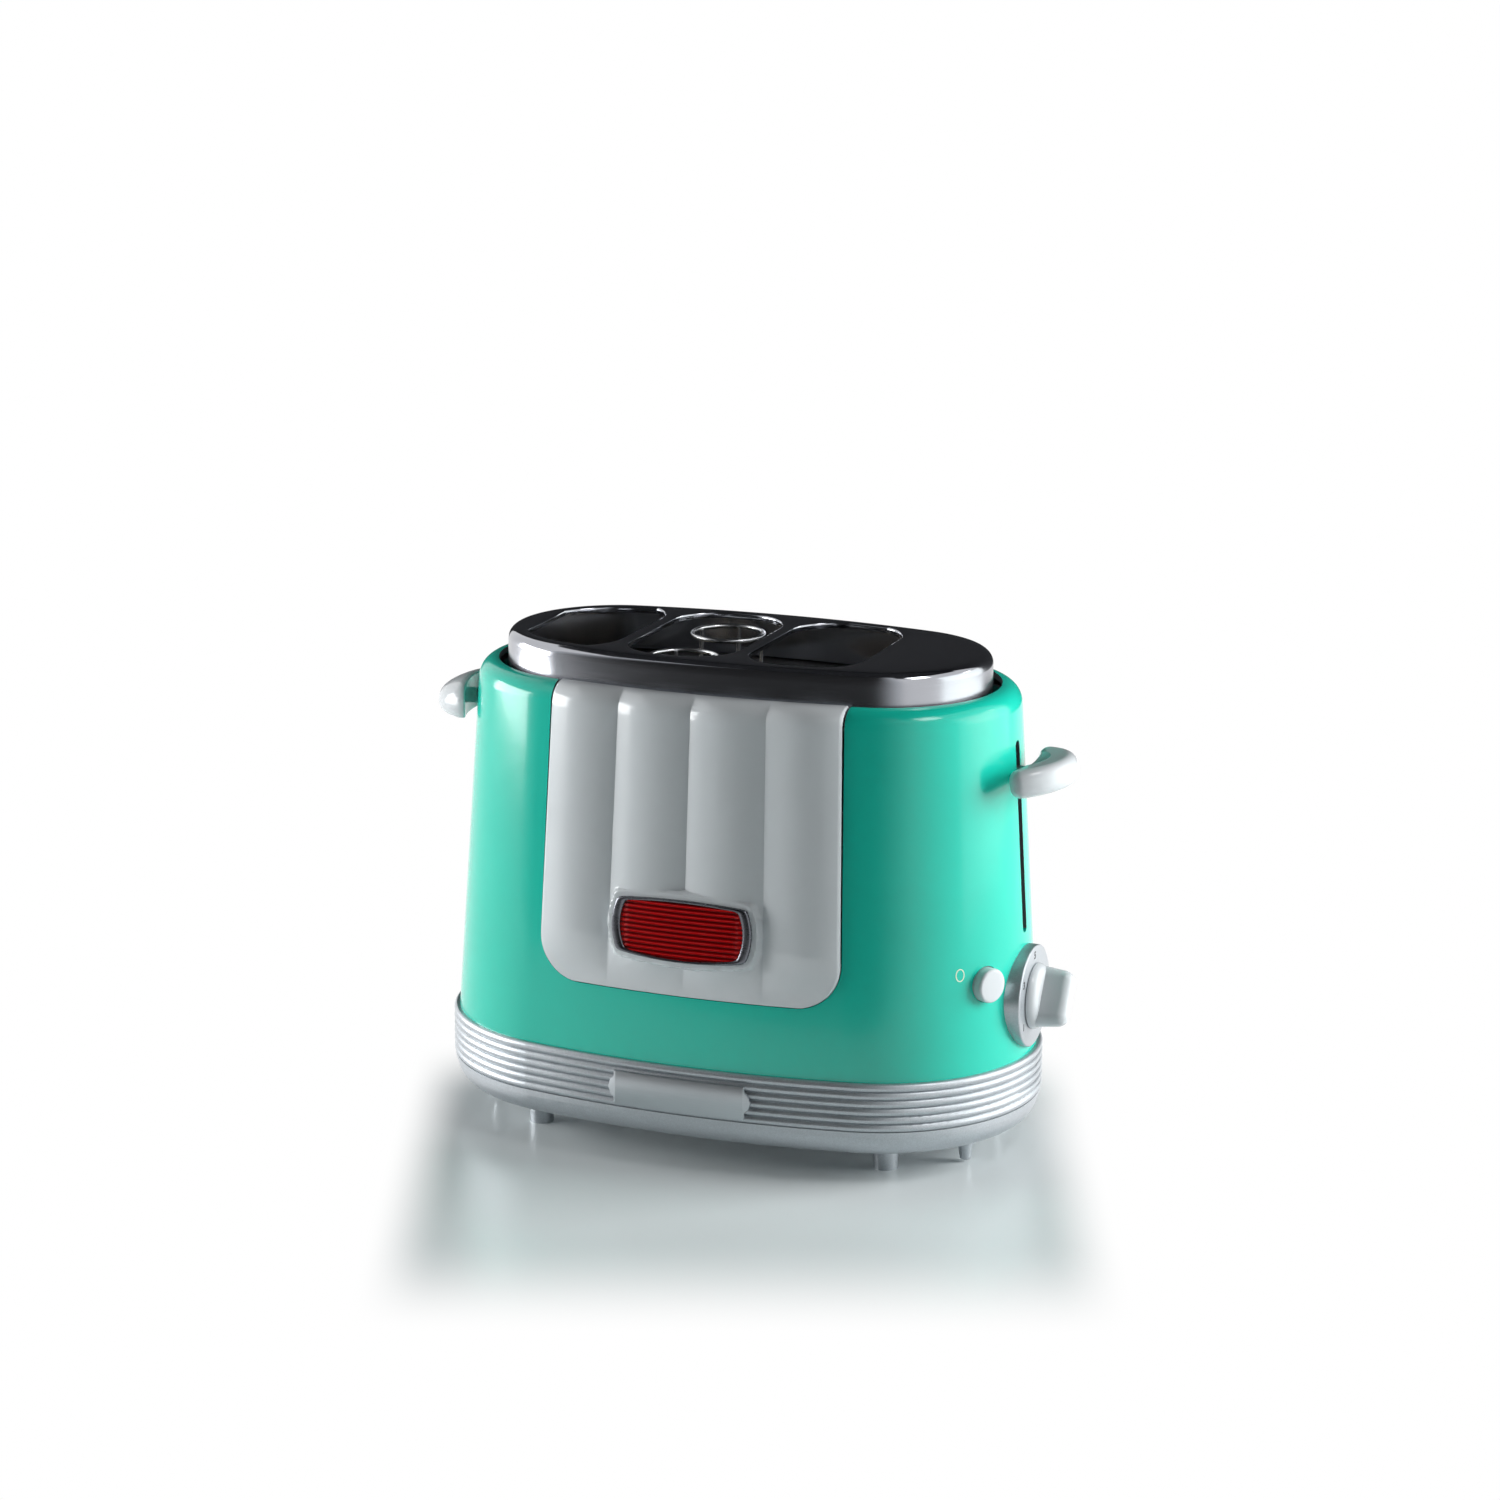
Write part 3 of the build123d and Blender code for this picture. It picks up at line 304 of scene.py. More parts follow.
# %% Polished top
def polished_lid(name, colour, skirt_top, flat_low):
    finish = Finish(name)
    flat = finish.ramp(finish.along("Z"), skirt_top * mm, flat_low * mm)
    brushing = finish.noise(45.0, 4.0, (1, 1, 90))
    clouds = finish.noise(25.0)
    finishes[name] = finish.surface(
        Base_Color=finish.blend(clouds * 0.4 + brushing * 0.6, shaded(colour, 0.84), colour), Metallic=1.0,
        Roughness=0.17 + 0.12 * brushing - 0.15 * flat,
        Normal=finish.bump(brushing * (1 - flat), 0.10, 0.00006))


polished_lid("polished_steel", ink(184, 186, 192), 206.0, 211.0)
print(len(finishes), "finishes with the lid")

# %% [markdown]
# ### Boards and dark plastic
# Heaters are wound on pressed mica, which shows grey flakes. The board, switch and cord bush are plain
# dark or brown laminate with a fine grain. With these, every CAD node can be dressed.


# %% Matte finishes
def matte_board(name, colour, fleck, scale):
    finish = Finish(name)
    flakes = finish.add("ShaderNodeTexVoronoi", None, {"Vector": finish.place, "Scale": scale}, "Distance")
    grain = finish.noise(500.0)
    finishes[name] = finish.surface(
        Base_Color=finish.blend(flakes, colour, fleck), Roughness=0.55 + 0.2 * grain,
        Normal=finish.bump(grain, 0.12, 0.0001))


matte_board("mica_board", ink(176, 166, 150), ink(214, 206, 190), 260.0)
matte_board("board_plastic", ink(128, 92, 48), ink(150, 112, 62), 500.0)
matte_board("dark_plastic", ink(36, 37, 39), ink(48, 49, 52), 600.0)
matte_board("dial_print", ink(26, 28, 32), ink(34, 36, 40), 700.0)
matte_board("mark_print", ink(214, 232, 205), ink(222, 238, 214), 700.0)

record_slots = {part["node"]: part["material_slot"] for part in frame["record"]["subparts"]}
for node, cad_object in frame["nodes"].items():
    cad_object.data.materials.clear()
    cad_object.data.materials.append(finishes[record_slots[node]])
print("finishes on", len(record_slots), "CAD nodes")

# %% [markdown]
# ## The oval
# In plan the body is four tangent arcs. A section drawn once, as offsets from the seam and heights, is
# spun about each arc's centre in turn. A curve with a bevel could do it too, but spin keeps the rows true.

# %% Spinning a section round the oval
half_length, half_depth, end_radius = 128.0, 74.6, 69.0
end_centre = half_length - end_radius
side_radius = (end_centre**2 + half_depth**2 - end_radius**2) / (2 * (half_depth - end_radius))
side_centre = side_radius - half_depth
end_sweep = math.degrees(math.atan2(side_centre, end_centre))
side_sweep = 90 - end_sweep
side_steps, end_steps = 44, 88


def spun_oval(section, closed):
    """A bmesh of a section of offsets and heights, carried round the four arcs."""
    bm = bmesh.new()
    start = math.radians(-90 - side_sweep)
    way = Vector((math.cos(start), math.sin(start), 0))
    hub = Vector((0, side_centre, 0))
    rail = [bm.verts.new((hub + way * (side_radius + offset) + Vector((0, 0, z))) * mm)
            for offset, z in section]
    ends = rail[1:] + rail[:1] if closed else rail[1:]
    moving = rail + [bm.edges.new(pair) for pair in zip(rail, ends)]
    for x, y, sweep, steps in (
            (0, side_centre, side_sweep, side_steps), (end_centre, 0, end_sweep, end_steps),
            (0, -side_centre, side_sweep, side_steps), (-end_centre, 0, end_sweep, end_steps)):
        turned = bmesh.ops.spin(bm, geom=moving, cent=(x * mm, y * mm, 0), axis=(0, 0, 1),
                                angle=math.radians(2 * sweep), steps=steps, use_duplicate=False)
        moving = turned["geom_last"]
    bmesh.ops.remove_doubles(bm, verts=bm.verts, dist=0.01 * mm)
    bmesh.ops.recalc_face_normals(bm, faces=bm.faces)
    return bm


print("side arc radius", round(side_radius, 1), "end sweep", round(end_sweep, 1))

# %% [markdown]
# ## Making and cutting
# Every piece below ends in the same way: its bmesh becomes an object at the origin, with a finish in a
# slot and, where it has one, a body to ride on. Openings are cut with the exact boolean on throw-away
# objects, so that no modifier stays on a piece.


# %% Placing, rounding and cutting
def link_mesh(name, bm, material):
    """Put a finished bmesh in the scene, as an object at the origin."""
    mesh = bpy.data.meshes.new(name)
    bm.to_mesh(mesh)
    bm.free()
    mesh.materials.append(material)
    thing = bpy.data.objects.new(name, mesh)
    scene.collection.objects.link(thing)
    return thing


def add_piece(name, bm, finish, body, crease=32):
    """Add a piece that rides on a CAD body, or, with no body, one that stays loose."""
    piece = link_mesh(name, bm, finishes[finish])
    piece.data.shade_smooth()
    piece.data.set_sharp_from_angle(angle=math.radians(crease))
    if body:
        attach(piece, body)
    print(name, len(piece.data.polygons), "faces")
    return piece


def round_over(bm, geom, radius, segments, affect="EDGES"):
    bmesh.ops.bevel(bm, geom=geom, offset=radius * mm, segments=segments, profile=0.5, affect=affect,
                    material=-1)


def raise_faces(bm, step):
    """Extrude every face, which makes a closed block of a flat outline."""
    grown = bmesh.ops.extrude_face_region(bm, geom=list(bm.faces))["geom"]
    bmesh.ops.translate(bm, vec=Vector(step) * mm,
                        verts=[v for v in grown if isinstance(v, bmesh.types.BMVert)])
    bmesh.ops.recalc_face_normals(bm, faces=bm.faces)


def stretched_cube(bm, middle, size):
    bmesh.ops.create_cube(bm, size=1, matrix=Matrix.Translation(Vector(middle) * mm)
                          @ Matrix.Diagonal((*(Vector(size) * mm), 1)))


def block_between(low, high, round_edges=0.0):
    """A box, with the four edges along X rounded over."""
    bm = bmesh.new()
    low, high = Vector(low), Vector(high)
    size = high - low
    stretched_cube(bm, (low + high) / 2, size)
    if round_edges:
        edges = [edge for edge in bm.edges
                 if abs(edge.verts[0].co.x - edge.verts[1].co.x) > size.x / 2 * mm]
        round_over(bm, edges, round_edges, 6)
    return bm


def carve(bm, *cutters):
    """Cut closed shapes out of another with the exact boolean."""
    def loose(shape):
        mesh = bpy.data.meshes.new("carving")
        shape.to_mesh(mesh)
        thing = bpy.data.objects.new("carving", mesh)
        scene.collection.objects.link(thing)
        return thing

    block = loose(bm)
    tools = [loose(cutter) for cutter in cutters]
    for tool in tools:
        cut = block.modifiers.new("cut", "BOOLEAN")
        cut.object = tool
        cut.operation = "DIFFERENCE"
        cut.solver = "EXACT"
    bpy.context.view_layer.update()
    depsgraph = bpy.context.evaluated_depsgraph_get()
    result = bpy.data.meshes.new_from_object(block.evaluated_get(depsgraph))
    bm.clear()
    bm.from_mesh(result)
    bpy.data.meshes.remove(result)
    for thing in [block] + tools:
        bpy.data.meshes.remove(thing.data)
    for cutter in cutters:
        cutter.free()


print("pieces go into", scene.collection.name)

# %% [markdown]
# ## The shell
# The teal moulding leans in as it rises and rolls over to a lip. It could be a scaled and bevelled
# cylinder, but then the lean would not be even. So a closed section is spun round the oval. First the
# line of its wall is drawn, which the panel follows as well.

# %% Wall section
lip, lip_inset, shoulder_steps = 198.8, 18.0, 12
lean = math.radians(3.73)
shoulder = (lip_inset - math.tan(lean) * (lip - seam)) / (
    math.cos(lean) - math.tan(lean) * (1 - math.sin(lean)))


def wall_offset(z, shift=0.0):
    """How far the wall, or a line inside it, lies off the seam's oval at a height."""
    return shift / math.cos(lean) - (z - seam) * math.tan(lean)


def wall_line(shift):
    """Offsets and heights up the wall from the seam, and over the shoulder to the lip."""
    points = [(wall_offset(seam, shift), seam)]
    for step in range(shoulder_steps + 1):
        angle = lean + (math.pi / 2 - lean) * step / shoulder_steps
        points.append((-lip_inset + (shoulder + shift) * math.cos(angle),
                       lip - shoulder + (shoulder + shift) * math.sin(angle)))
    return points


print("shoulder radius", round(shoulder, 1))

# %% [markdown]
# ### Openings of the shell
# The spun shell is cut for the front panel, the two lever slots and the stop button. A cutter for each is
# quicker than modelling round the holes.

# %% Shell
panel_low, panel_low_half, panel_top_half, panel_corner, panel_gap = 74.5, 67.1, 63.4, 19.0, 0.25
shell_wall, slot_half, slot_round = 2.6, 2.5, 2.3
button_angle, button_z, hole_radius = -27.7, 82.0, 7.6


def panel_prism(front=-120, depth=85):
    """Cutter with the front panel's outline and a small gap round it."""
    bm = bmesh.new()
    low, high = panel_low - panel_gap, lip + 30
    low_half, top_half = panel_low_half + panel_gap, panel_top_half + panel_gap
    corners = [bm.verts.new(Vector((x, front, z)) * mm) for x, z in (
        (-low_half, low), (low_half, low), (top_half, high), (-top_half, high))]
    bm.faces.new(corners)
    round_over(bm, corners[:2], panel_corner + panel_gap, 16, "VERTICES")
    raise_faces(bm, (0, depth, 0))
    return bm


def radial_frame(angle, z, radius):
    """Matrix whose Z points out of the right end's arc at an angle."""
    turn = math.radians(angle)
    out = Vector((math.cos(turn), math.sin(turn), 0))
    up = Vector((0, 0, 1))
    side = up.cross(out)
    spot = Vector((end_centre, 0, z)) + out * radius
    return Matrix.Translation(spot * mm) @ Matrix((side, up, out)).transposed().to_4x4()


button_hole = bmesh.new()
bmesh.ops.create_cone(button_hole, cap_ends=True, segments=48, radius1=hole_radius * mm,
                      radius2=hole_radius * mm, depth=40 * mm,
                      matrix=radial_frame(button_angle, button_z, end_radius))
shell = spun_oval(wall_line(0) + wall_line(-shell_wall)[::-1], True)
carve(shell, panel_prism(),
      block_between((90, -slot_half, 96.6), (150, slot_half, 178.5), slot_round),
      block_between((-150, -slot_half, 110), (-90, slot_half, 189), slot_round), button_hole)
shell_piece = add_piece("shell_moulding", shell, "teal_gloss", "housing")
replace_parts(shell_piece, "shell")

# %% [markdown]
# ### Reflector
# The shell's inner wall, which shows through the wells, is lined with bright foil. A sheet of its own
# would be too thin to model well, so the faces that look inwards get a second finish.

# %% Reflector inside the shell
shell_piece.data.materials.append(finishes["inner_steel"])
lined = 0
for face in shell_piece.data.polygons:
    middle = Vector(face.center)
    spine = Vector((max(-end_centre * mm, min(end_centre * mm, middle.x)), 0, middle.z))
    if face.normal.dot(middle - spine) < 0 and abs(face.normal.z) < 0.5:
        face.material_index = 1
        lined += 1
print(lined, "faces of the inner wall carry the reflector foil")

# %% [markdown]
# ## The fluted panel
# The pale panel has four upright flutes that swell out of its foot, meet in crisp valleys and die away
# over the shoulder, and a raised pad for the badge. Sculpting would not be even, so the height of its face
# above the wall is written as a sum.

# %% Height of the panel's face
flute_rise, flute_valley, panel_skin, panel_sheet = 4.2, 0.7, 0.4, 2.2
swell_length, fade_length, edge_round, melt = 24, 10, 0.8, 0.12
badge_middle, badge_ends, badge_edges, badge_bulge = 103.6, 28.4, 11.3, 2.4
pad_border, pad_rise, pad_drop, pad_slope, pad_sharp = 2.2, 4.3, 5.0, 1.8, 0.75
wall_length = (lip - shoulder + shoulder * math.sin(lean) - panel_low) / math.cos(lean)
panel_length = wall_length + shoulder * (math.pi / 2 - lean)


def eased(value):
    value = min(1.0, max(0.0, value))
    return value * value * (3 - 2 * value)


def bowed(u, v, ends, edges):
    """Point of a barrel outline: u and v run from -1 to 1, ends and edges are the sizes at its corners."""
    return (u * (ends + badge_bulge * (1 - v * v)), v * (edges + (1.4 if v > 0 else 2.2) * (1 - u * u)))


def pad_height(x, z):
    """How far the badge's pad stands off the wall, at a place measured from its middle."""
    across, up = min(1.0, abs(x) / badge_ends), min(1.0, abs(z) / badge_edges)
    pad_half = bowed(1, math.copysign(up, z), badge_ends, 1)[0]
    pad_tall = abs(bowed(across, math.copysign(1, z), 1, badge_edges)[1])
    beyond = math.exp(pad_sharp * (abs(x) - pad_half)) + math.exp(pad_sharp * (abs(z) - pad_tall))
    return pad_rise - pad_drop * eased((math.log(beyond) / pad_sharp - pad_border) / pad_slope)


def panel_rise(x, along, half, pitch):
    """How far the panel stands off the wall: flutes and pad melt together, and the rim is rounded."""
    swell = eased(along / swell_length) * (1 - eased((along - panel_length + fade_length) / fade_length))
    place = (x / pitch) % 1 - 0.5
    flute = flute_valley + (flute_rise - flute_valley) * (1 - (2 * place) ** 2)
    rise = panel_skin + (flute - panel_skin) * swell
    pad = pad_height(x, panel_low + along - badge_middle)
    peak = max(rise, pad)
    rise = peak + melt * math.log(math.exp((rise - peak) / melt) + math.exp((pad - peak) / melt))
    inside = edge_round - min(half - abs(x), along, edge_round)
    return rise - edge_round + math.sqrt(max(0.0, edge_round**2 - inside**2))


print("panel length up the wall", round(panel_length, 1))

# %% [markdown]
# ### Bending the panel
# A flat grid is bent on to the wall and thickened. Its columns follow the valleys, so they stay sharp,
# its lower rows follow the rounded corners, and its rows are closer round the badge.


# %% Panel
def on_wall(x, along, rise):
    """Point on the front at a length up the wall, raised off it."""
    if along < wall_length:
        z = panel_low + along * math.cos(lean)
        offset, turn = wall_offset(z), lean
    else:
        turn = lean + (along - wall_length) / shoulder
        offset = -lip_inset + shoulder * math.cos(turn)
        z = lip - shoulder + shoulder * math.sin(turn)
    offset += rise * math.cos(turn)
    y = side_centre - math.sqrt((side_radius + offset) ** 2 - x * x)
    return Vector((x, y, z + rise * math.sin(turn))) * mm


def thicken(bm, towards, depth):
    """Give an open sheet its thickness, away from the side that it shows."""
    bmesh.ops.recalc_face_normals(bm, faces=bm.faces)
    bm.normal_update()
    if sum(face.normal.dot(towards) * face.calc_area() for face in bm.faces) < 0:
        bmesh.ops.reverse_faces(bm, faces=bm.faces)
    bmesh.ops.solidify(bm, geom=list(bm.faces), thickness=depth * mm)


front = Vector((0, -1, 0))
flute_pitch, pitch_loss = 34.6, 2.4
corner_rows, badge_rows, plain_rows, columns, badge_end = 42, 52, 78, 196, 46.0
rows = [panel_corner * (1 - math.cos(math.pi / 2 * step / corner_rows)) for step in range(corner_rows)]
rows += [panel_corner + (badge_end - panel_corner) * step / badge_rows for step in range(badge_rows)]
rows += [badge_end + (panel_length - badge_end) * step / plain_rows for step in range(plain_rows + 1)]
panel = bmesh.new()
bmesh.ops.create_grid(panel, x_segments=columns, y_segments=len(rows) - 1, size=1)
for vert in panel.verts:
    along = rows[round((vert.co.y + 1) / 2 * (len(rows) - 1))]
    share = along / panel_length
    half = panel_low_half + (panel_top_half - panel_low_half) * share
    pitch = flute_pitch - pitch_loss * share
    if along < panel_corner:
        half += math.sqrt(panel_corner**2 - (panel_corner - along) ** 2) - panel_corner
    across = abs(vert.co.x)
    x = 2 * across * pitch if across < 0.5 else pitch + (2 * across - 1) * (half - pitch)
    x = math.copysign(x, vert.co.x)
    vert.co = on_wall(x, along, panel_rise(x, along, half, pitch))
thicken(panel, front, panel_sheet)
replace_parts(add_piece("fluted_panel", panel, "pale_gloss", "housing", 40), "front_panel")

# %% [markdown]
# ## The badge
# On the pad sits a dark metal surround with broad ends and thin long edges, round a bare red window with
# fine level ribs. A boolean on a bent block would leave ragged rims, so both are drawn as barrel outlines
# and bent on to the wall.

# %% Badge surround
corner_power, ring_segments = 26, 240


def edges_within(bm, ring):
    return [edge for edge in bm.edges if edge.verts[0] in ring and edge.verts[1] in ring]


def bridge_all(bm, loops):
    for first, second in zip(loops, loops[1:]):
        bmesh.ops.bridge_loops(bm, edges=first + second)


def barrel_ring(bm, ends, edges, rise):
    """A loop of edges with the barrel outline and small round corners, lying on the wall."""
    ring = bmesh.ops.create_circle(bm, segments=ring_segments, radius=1)["verts"]
    for vert in ring:
        u, v = vert.co.x, vert.co.y
        reach = (abs(u) ** corner_power + abs(v) ** corner_power) ** (1 / corner_power)
        x, z = bowed(u / reach, v / reach, ends, edges)
        vert.co = on_wall(x, z + badge_middle - panel_low, rise)
    return edges_within(bm, ring)


surround = bmesh.new()
loops = [barrel_ring(surround, *ring) for ring in (
    (badge_ends, badge_edges, 3.9), (badge_ends, badge_edges, 5.3), (28.2, 11.15, 5.65), (27.6, 11.0, 5.88),
    (26.2, 10.6, 5.9), (25.2, 10.3, 5.7), (24.7, 10.15, 5.2), (24.7, 10.15, 4.2))]
bridge_all(surround, loops + loops[:1])
bmesh.ops.recalc_face_normals(surround, faces=surround.faces)
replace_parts(add_piece("badge_surround", surround, "dark_chrome", "housing", 50), "badge_bezel")

# %% [markdown]
# ### The window
# Fine ribs could be left to a bump, but they break up the highlights, so the grid itself rises and falls.

# %% Badge window
window_ends, window_edges, window_rise, window_sheet, window_crown = 24.7, 10.2, 5.05, 0.8, 0.25
rib_pitch, rib_height, rib_end, rib_fade = 2.1, 0.4, 24.4, 0.8
window = bmesh.new()
bmesh.ops.create_grid(window, x_segments=64, y_segments=154, size=1)
for vert in window.verts:
    u, v = vert.co.x, vert.co.y
    x, z = bowed(u * (1 - 0.012 * abs(v) ** 20), v, window_ends, window_edges)
    rib = rib_height * math.cos(2 * math.pi * z / rib_pitch) * eased((rib_end - abs(x)) / rib_fade)
    vert.co = on_wall(x, z + badge_middle - panel_low, window_rise + rib - window_crown * u * u)
thicken(window, front, window_sheet)
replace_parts(add_piece("badge_window", window, "red_gloss", "housing", 60), "badge_insert")

# %% [markdown]
# ## The base
# The silver tub has six level ridges, a small step and a rounded bowl. It could be spun like the shell,
# but its CAD mesh already has the true ridges, the tray's mouth and the seats of the springs inside, so
# it stays, and the flake paint does the rest.

# %% Base
base_low, base_high = (Vector(corner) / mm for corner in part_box("base"))
print("base from", round(base_low.z, 1), "to", round(base_high.z, 1), "mm")

# %% [markdown]
# ## The name plate
# A plain satin plate with bracketed ends is set on the ridges. It is left bare. A flat outline is cut
# across so that it can bend, given its thickness and a soft edge, and laid on the oval. A Shrinkwrap
# modifier could lay it there too, but it would also follow the ridges.

# %% Name plate
plate_half, plate_low, plate_high, plate_notch, plate_tip = 31.7, 26.0, 40.5, 2.6, 0.8
plate_sheet, plate_stand, plate_edge, bend_step = 1.15, 2.5, 0.35, 4
plate = bmesh.new()
plate_mid, plate_ear = (plate_low + plate_high) / 2, plate_half - plate_notch
right_side = [(plate_ear, plate_low), (plate_ear, plate_low + plate_notch),
              (plate_half - plate_tip, plate_mid - plate_notch), (plate_half, plate_mid),
              (plate_half - plate_tip, plate_mid + plate_notch),
              (plate_ear, plate_high - plate_notch), (plate_ear, plate_high)]
outline = right_side + [(-x, z) for x, z in right_side[::-1]]
plate.faces.new([plate.verts.new(Vector((x, 0, z)) * mm) for x, z in outline])
for cut in range(-7, 8):
    bmesh.ops.bisect_plane(plate, geom=list(plate.verts) + list(plate.edges) + list(plate.faces),
                           plane_co=(cut * bend_step * mm, 0, 0), plane_no=(1, 0, 0))
raise_faces(plate, (0, -plate_sheet, 0))
front_rim = [edge for edge in plate.edges if len(edge.link_faces) == 2 and edge.calc_face_angle() > 1
             and all(v.co.y < -1 * mm for v in edge.verts)]
round_over(plate, front_rim, plate_edge, 2)
for vert in plate.verts:
    x, rise = vert.co.x / mm, plate_stand - vert.co.y / mm
    vert.co.y = (side_centre - math.sqrt((side_radius + rise) ** 2 - x * x)) * mm
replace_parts(add_piece("bare_name_plate", plate, "satin_steel", "housing"), "name_plate")

# %% [markdown]
# ## The top plate
# A polished pressing stands out of the lip: a turned-out flange, an upright skirt, a rolled edge and a
# flat top with three openings whose rims are drawn down. A boolean would leave the rims sharp, so each
# rim is a stack of loops, and the flat is filled between them.

# %% Skirt and rolled edge
plate_top, edge_radius, skirt_inset, flange, edge_steps = 211.8, 5.0, 22.0, 14.6, 12
skirt_line = [(-flange, 190.8), (-flange, 192.0), (-20.8, 192.0), (-21.6, 192.3), (-skirt_inset, 193.2)]
for step in range(edge_steps + 1):
    turn = math.pi / 2 * step / edge_steps
    skirt_line.append((-skirt_inset - edge_radius * (1 - math.cos(turn)),
                       plate_top - edge_radius * (1 - math.sin(turn))))
top_plate = spun_oval(skirt_line, False)
outer_rim = [edge for edge in top_plate.edges
             if edge.is_boundary and min(v.co.z for v in edge.verts) > (plate_top - 0.01) * mm]
print("rolled edge ends in", len(outer_rim), "edges")

# %% [markdown]
# ### The wells
# Each opening is a rounded oblong. The left one reaches into the plate's round end, so points that would
# lie too near its edge are pulled back on to an inner oval.

# %% Wells
well_half, well_long, well_corner, well_inset, plate_metal = 24.5, 43.5, 21.0, 30.0, 0.7
well_middles = (-73.0, -19.0, 35.0)
rim_steps = ((1.0, 0.0), (0.62, 0.08), (0.3, 0.3), (0.08, 0.62), (0.0, 1.0), (0.0, 2.6))


def held_in(spot, offset):
    """Pull a point that lies outside the oval at an offset back on to it."""
    hub, reach = Vector((math.copysign(end_centre, spot.x), 0, 0)), end_radius
    spoke = spot - hub
    if math.atan2(abs(spoke.y), math.copysign(spoke.x, spoke.x * spot.x)) > math.radians(end_sweep):
        hub, reach = Vector((0, -math.copysign(side_centre, spot.y), 0)), side_radius
        spoke = spot - hub
    return hub + spoke * min(1.0, (reach + offset) / spoke.length)


def well_ring(bm, centre, grow, drop):
    """Loop round an opening: a rounded oblong, kept inside the plate's round end."""
    half_x, half_y, corner = well_half + grow, well_long + grow, well_corner + grow
    ring = bmesh.ops.create_circle(bm, segments=192, radius=1)["verts"]
    for vert in ring:
        turn = math.atan2(vert.co.y, vert.co.x)
        x = math.copysign(half_x - corner, math.cos(turn)) + corner * math.cos(turn)
        y = math.copysign(half_y - corner, math.sin(turn)) + corner * math.sin(turn)
        spot = held_in(Vector((x + centre, y, 0)), grow - well_inset)
        vert.co = (spot + Vector((0, 0, plate_top - drop))) * mm
    return edges_within(bm, ring)


rims = []
for centre in well_middles:
    loops = [well_ring(top_plate, centre, *step) for step in rim_steps]
    rims += loops[0]
    bridge_all(top_plate, loops)
bmesh.ops.triangle_fill(top_plate, use_beauty=True, use_dissolve=False, edges=outer_rim + rims)
thicken(top_plate, Vector((0, 0, 1)), plate_metal)
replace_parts(add_piece("polished_top", top_plate, "polished_steel", "housing", 40),
            "top_plate")

# %% [markdown]
# ## The dial
# A flat silver ring carries plain numbers round the knob. A Screw modifier could turn its section, but a
# bmesh spin about the dial's axis gives the mesh at once.

# %% Dial ring
dial_z, dial_face, dial_radius, dial_bore, dial_segments = 69.5, 129.5, 21.6, 8.0, 96


def spun_dial(section):
    """Spin a closed section of reaches and radii about the dial's axis."""
    bm = bmesh.new()
    rail = [bm.verts.new(Vector((x, radius, dial_z)) * mm) for x, radius in section]
    edges = [bm.edges.new(pair) for pair in zip(rail, rail[1:] + rail[:1])]
    bmesh.ops.spin(bm, geom=rail + edges, cent=(0, 0, dial_z * mm), axis=(1, 0, 0), angle=2 * math.pi,
                   steps=dial_segments, use_merge=True)
    bmesh.ops.remove_doubles(bm, verts=bm.verts, dist=0.005 * mm)
    bmesh.ops.recalc_face_normals(bm, faces=bm.faces)
    return bm


dial_ring = spun_dial(((121.0, dial_radius), (128.8, dial_radius), (129.2, 21.5), (129.4, 21.25),
                       (dial_face, 20.9), (dial_face, dial_bore), (126.0, dial_bore), (121.0, 12.0)))
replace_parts(add_piece("dial_ring", dial_ring, "silver_paint", "housing", 40), "dial_bezel")

# %% [markdown]
# ### The knob
# A white knob turns in the ring. Its domed skirt is spun like the ring. The broad grip is a box with
# rounded corners and nose, narrowed towards its end, because a spun shape can't be flat-sided.

# %% Knob
knob_start, grip_length, grip_thick, grip_tall = 129.2, 16.3, 10.6, 26.8
grip_corner, grip_nose, grip_taper, grip_turn = 4.9, 4.2, 0.14, math.radians(-32)
knob = spun_dial(((129.7, 0.0), (129.7, 13.7), (129.85, 13.95), (130.2, 14.0), (131.0, 13.8), (132.2, 13.2),
                  (133.2, 12.2), (133.8, 10.8), (134.0, 9.0), (134.0, 0.0)))
grip = bmesh.new()
stretched_cube(grip, (knob_start + grip_length / 2, 0, 0), (grip_length, grip_thick, grip_tall))
long_edges = [edge for edge in grip.edges if abs(edge.verts[0].co.x - edge.verts[1].co.x) > 1 * mm]
round_over(grip, long_edges, grip_corner, 8)
nose = [edge for edge in grip.edges
        if min(v.co.x for v in edge.verts) > (knob_start + grip_length - 0.5) * mm]
round_over(grip, nose, grip_nose, 8)
for vert in grip.verts:
    narrowing = 1 - grip_taper * (vert.co.x / mm - knob_start) / grip_length
    vert.co.y *= narrowing
    vert.co.z *= narrowing
bmesh.ops.rotate(grip, cent=(0, 0, 0), matrix=Matrix.Rotation(grip_turn, 3, "X"), verts=grip.verts)
bmesh.ops.translate(grip, vec=(0, 0, dial_z * mm), verts=grip.verts)
grip_mesh = bpy.data.meshes.new("grip")
grip.to_mesh(grip_mesh)
grip.free()
knob.from_mesh(grip_mesh)
bpy.data.meshes.remove(grip_mesh)
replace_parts(add_piece("dial_knob", knob, "white_gloss", "knob", 40), "browning_knob")

# %% [markdown]
# ### Numbers
# Plain numbers stand round the front of the dial. Text objects could stay as they are, but only a mesh can
# lie on the dial's face while its object stays at the origin.

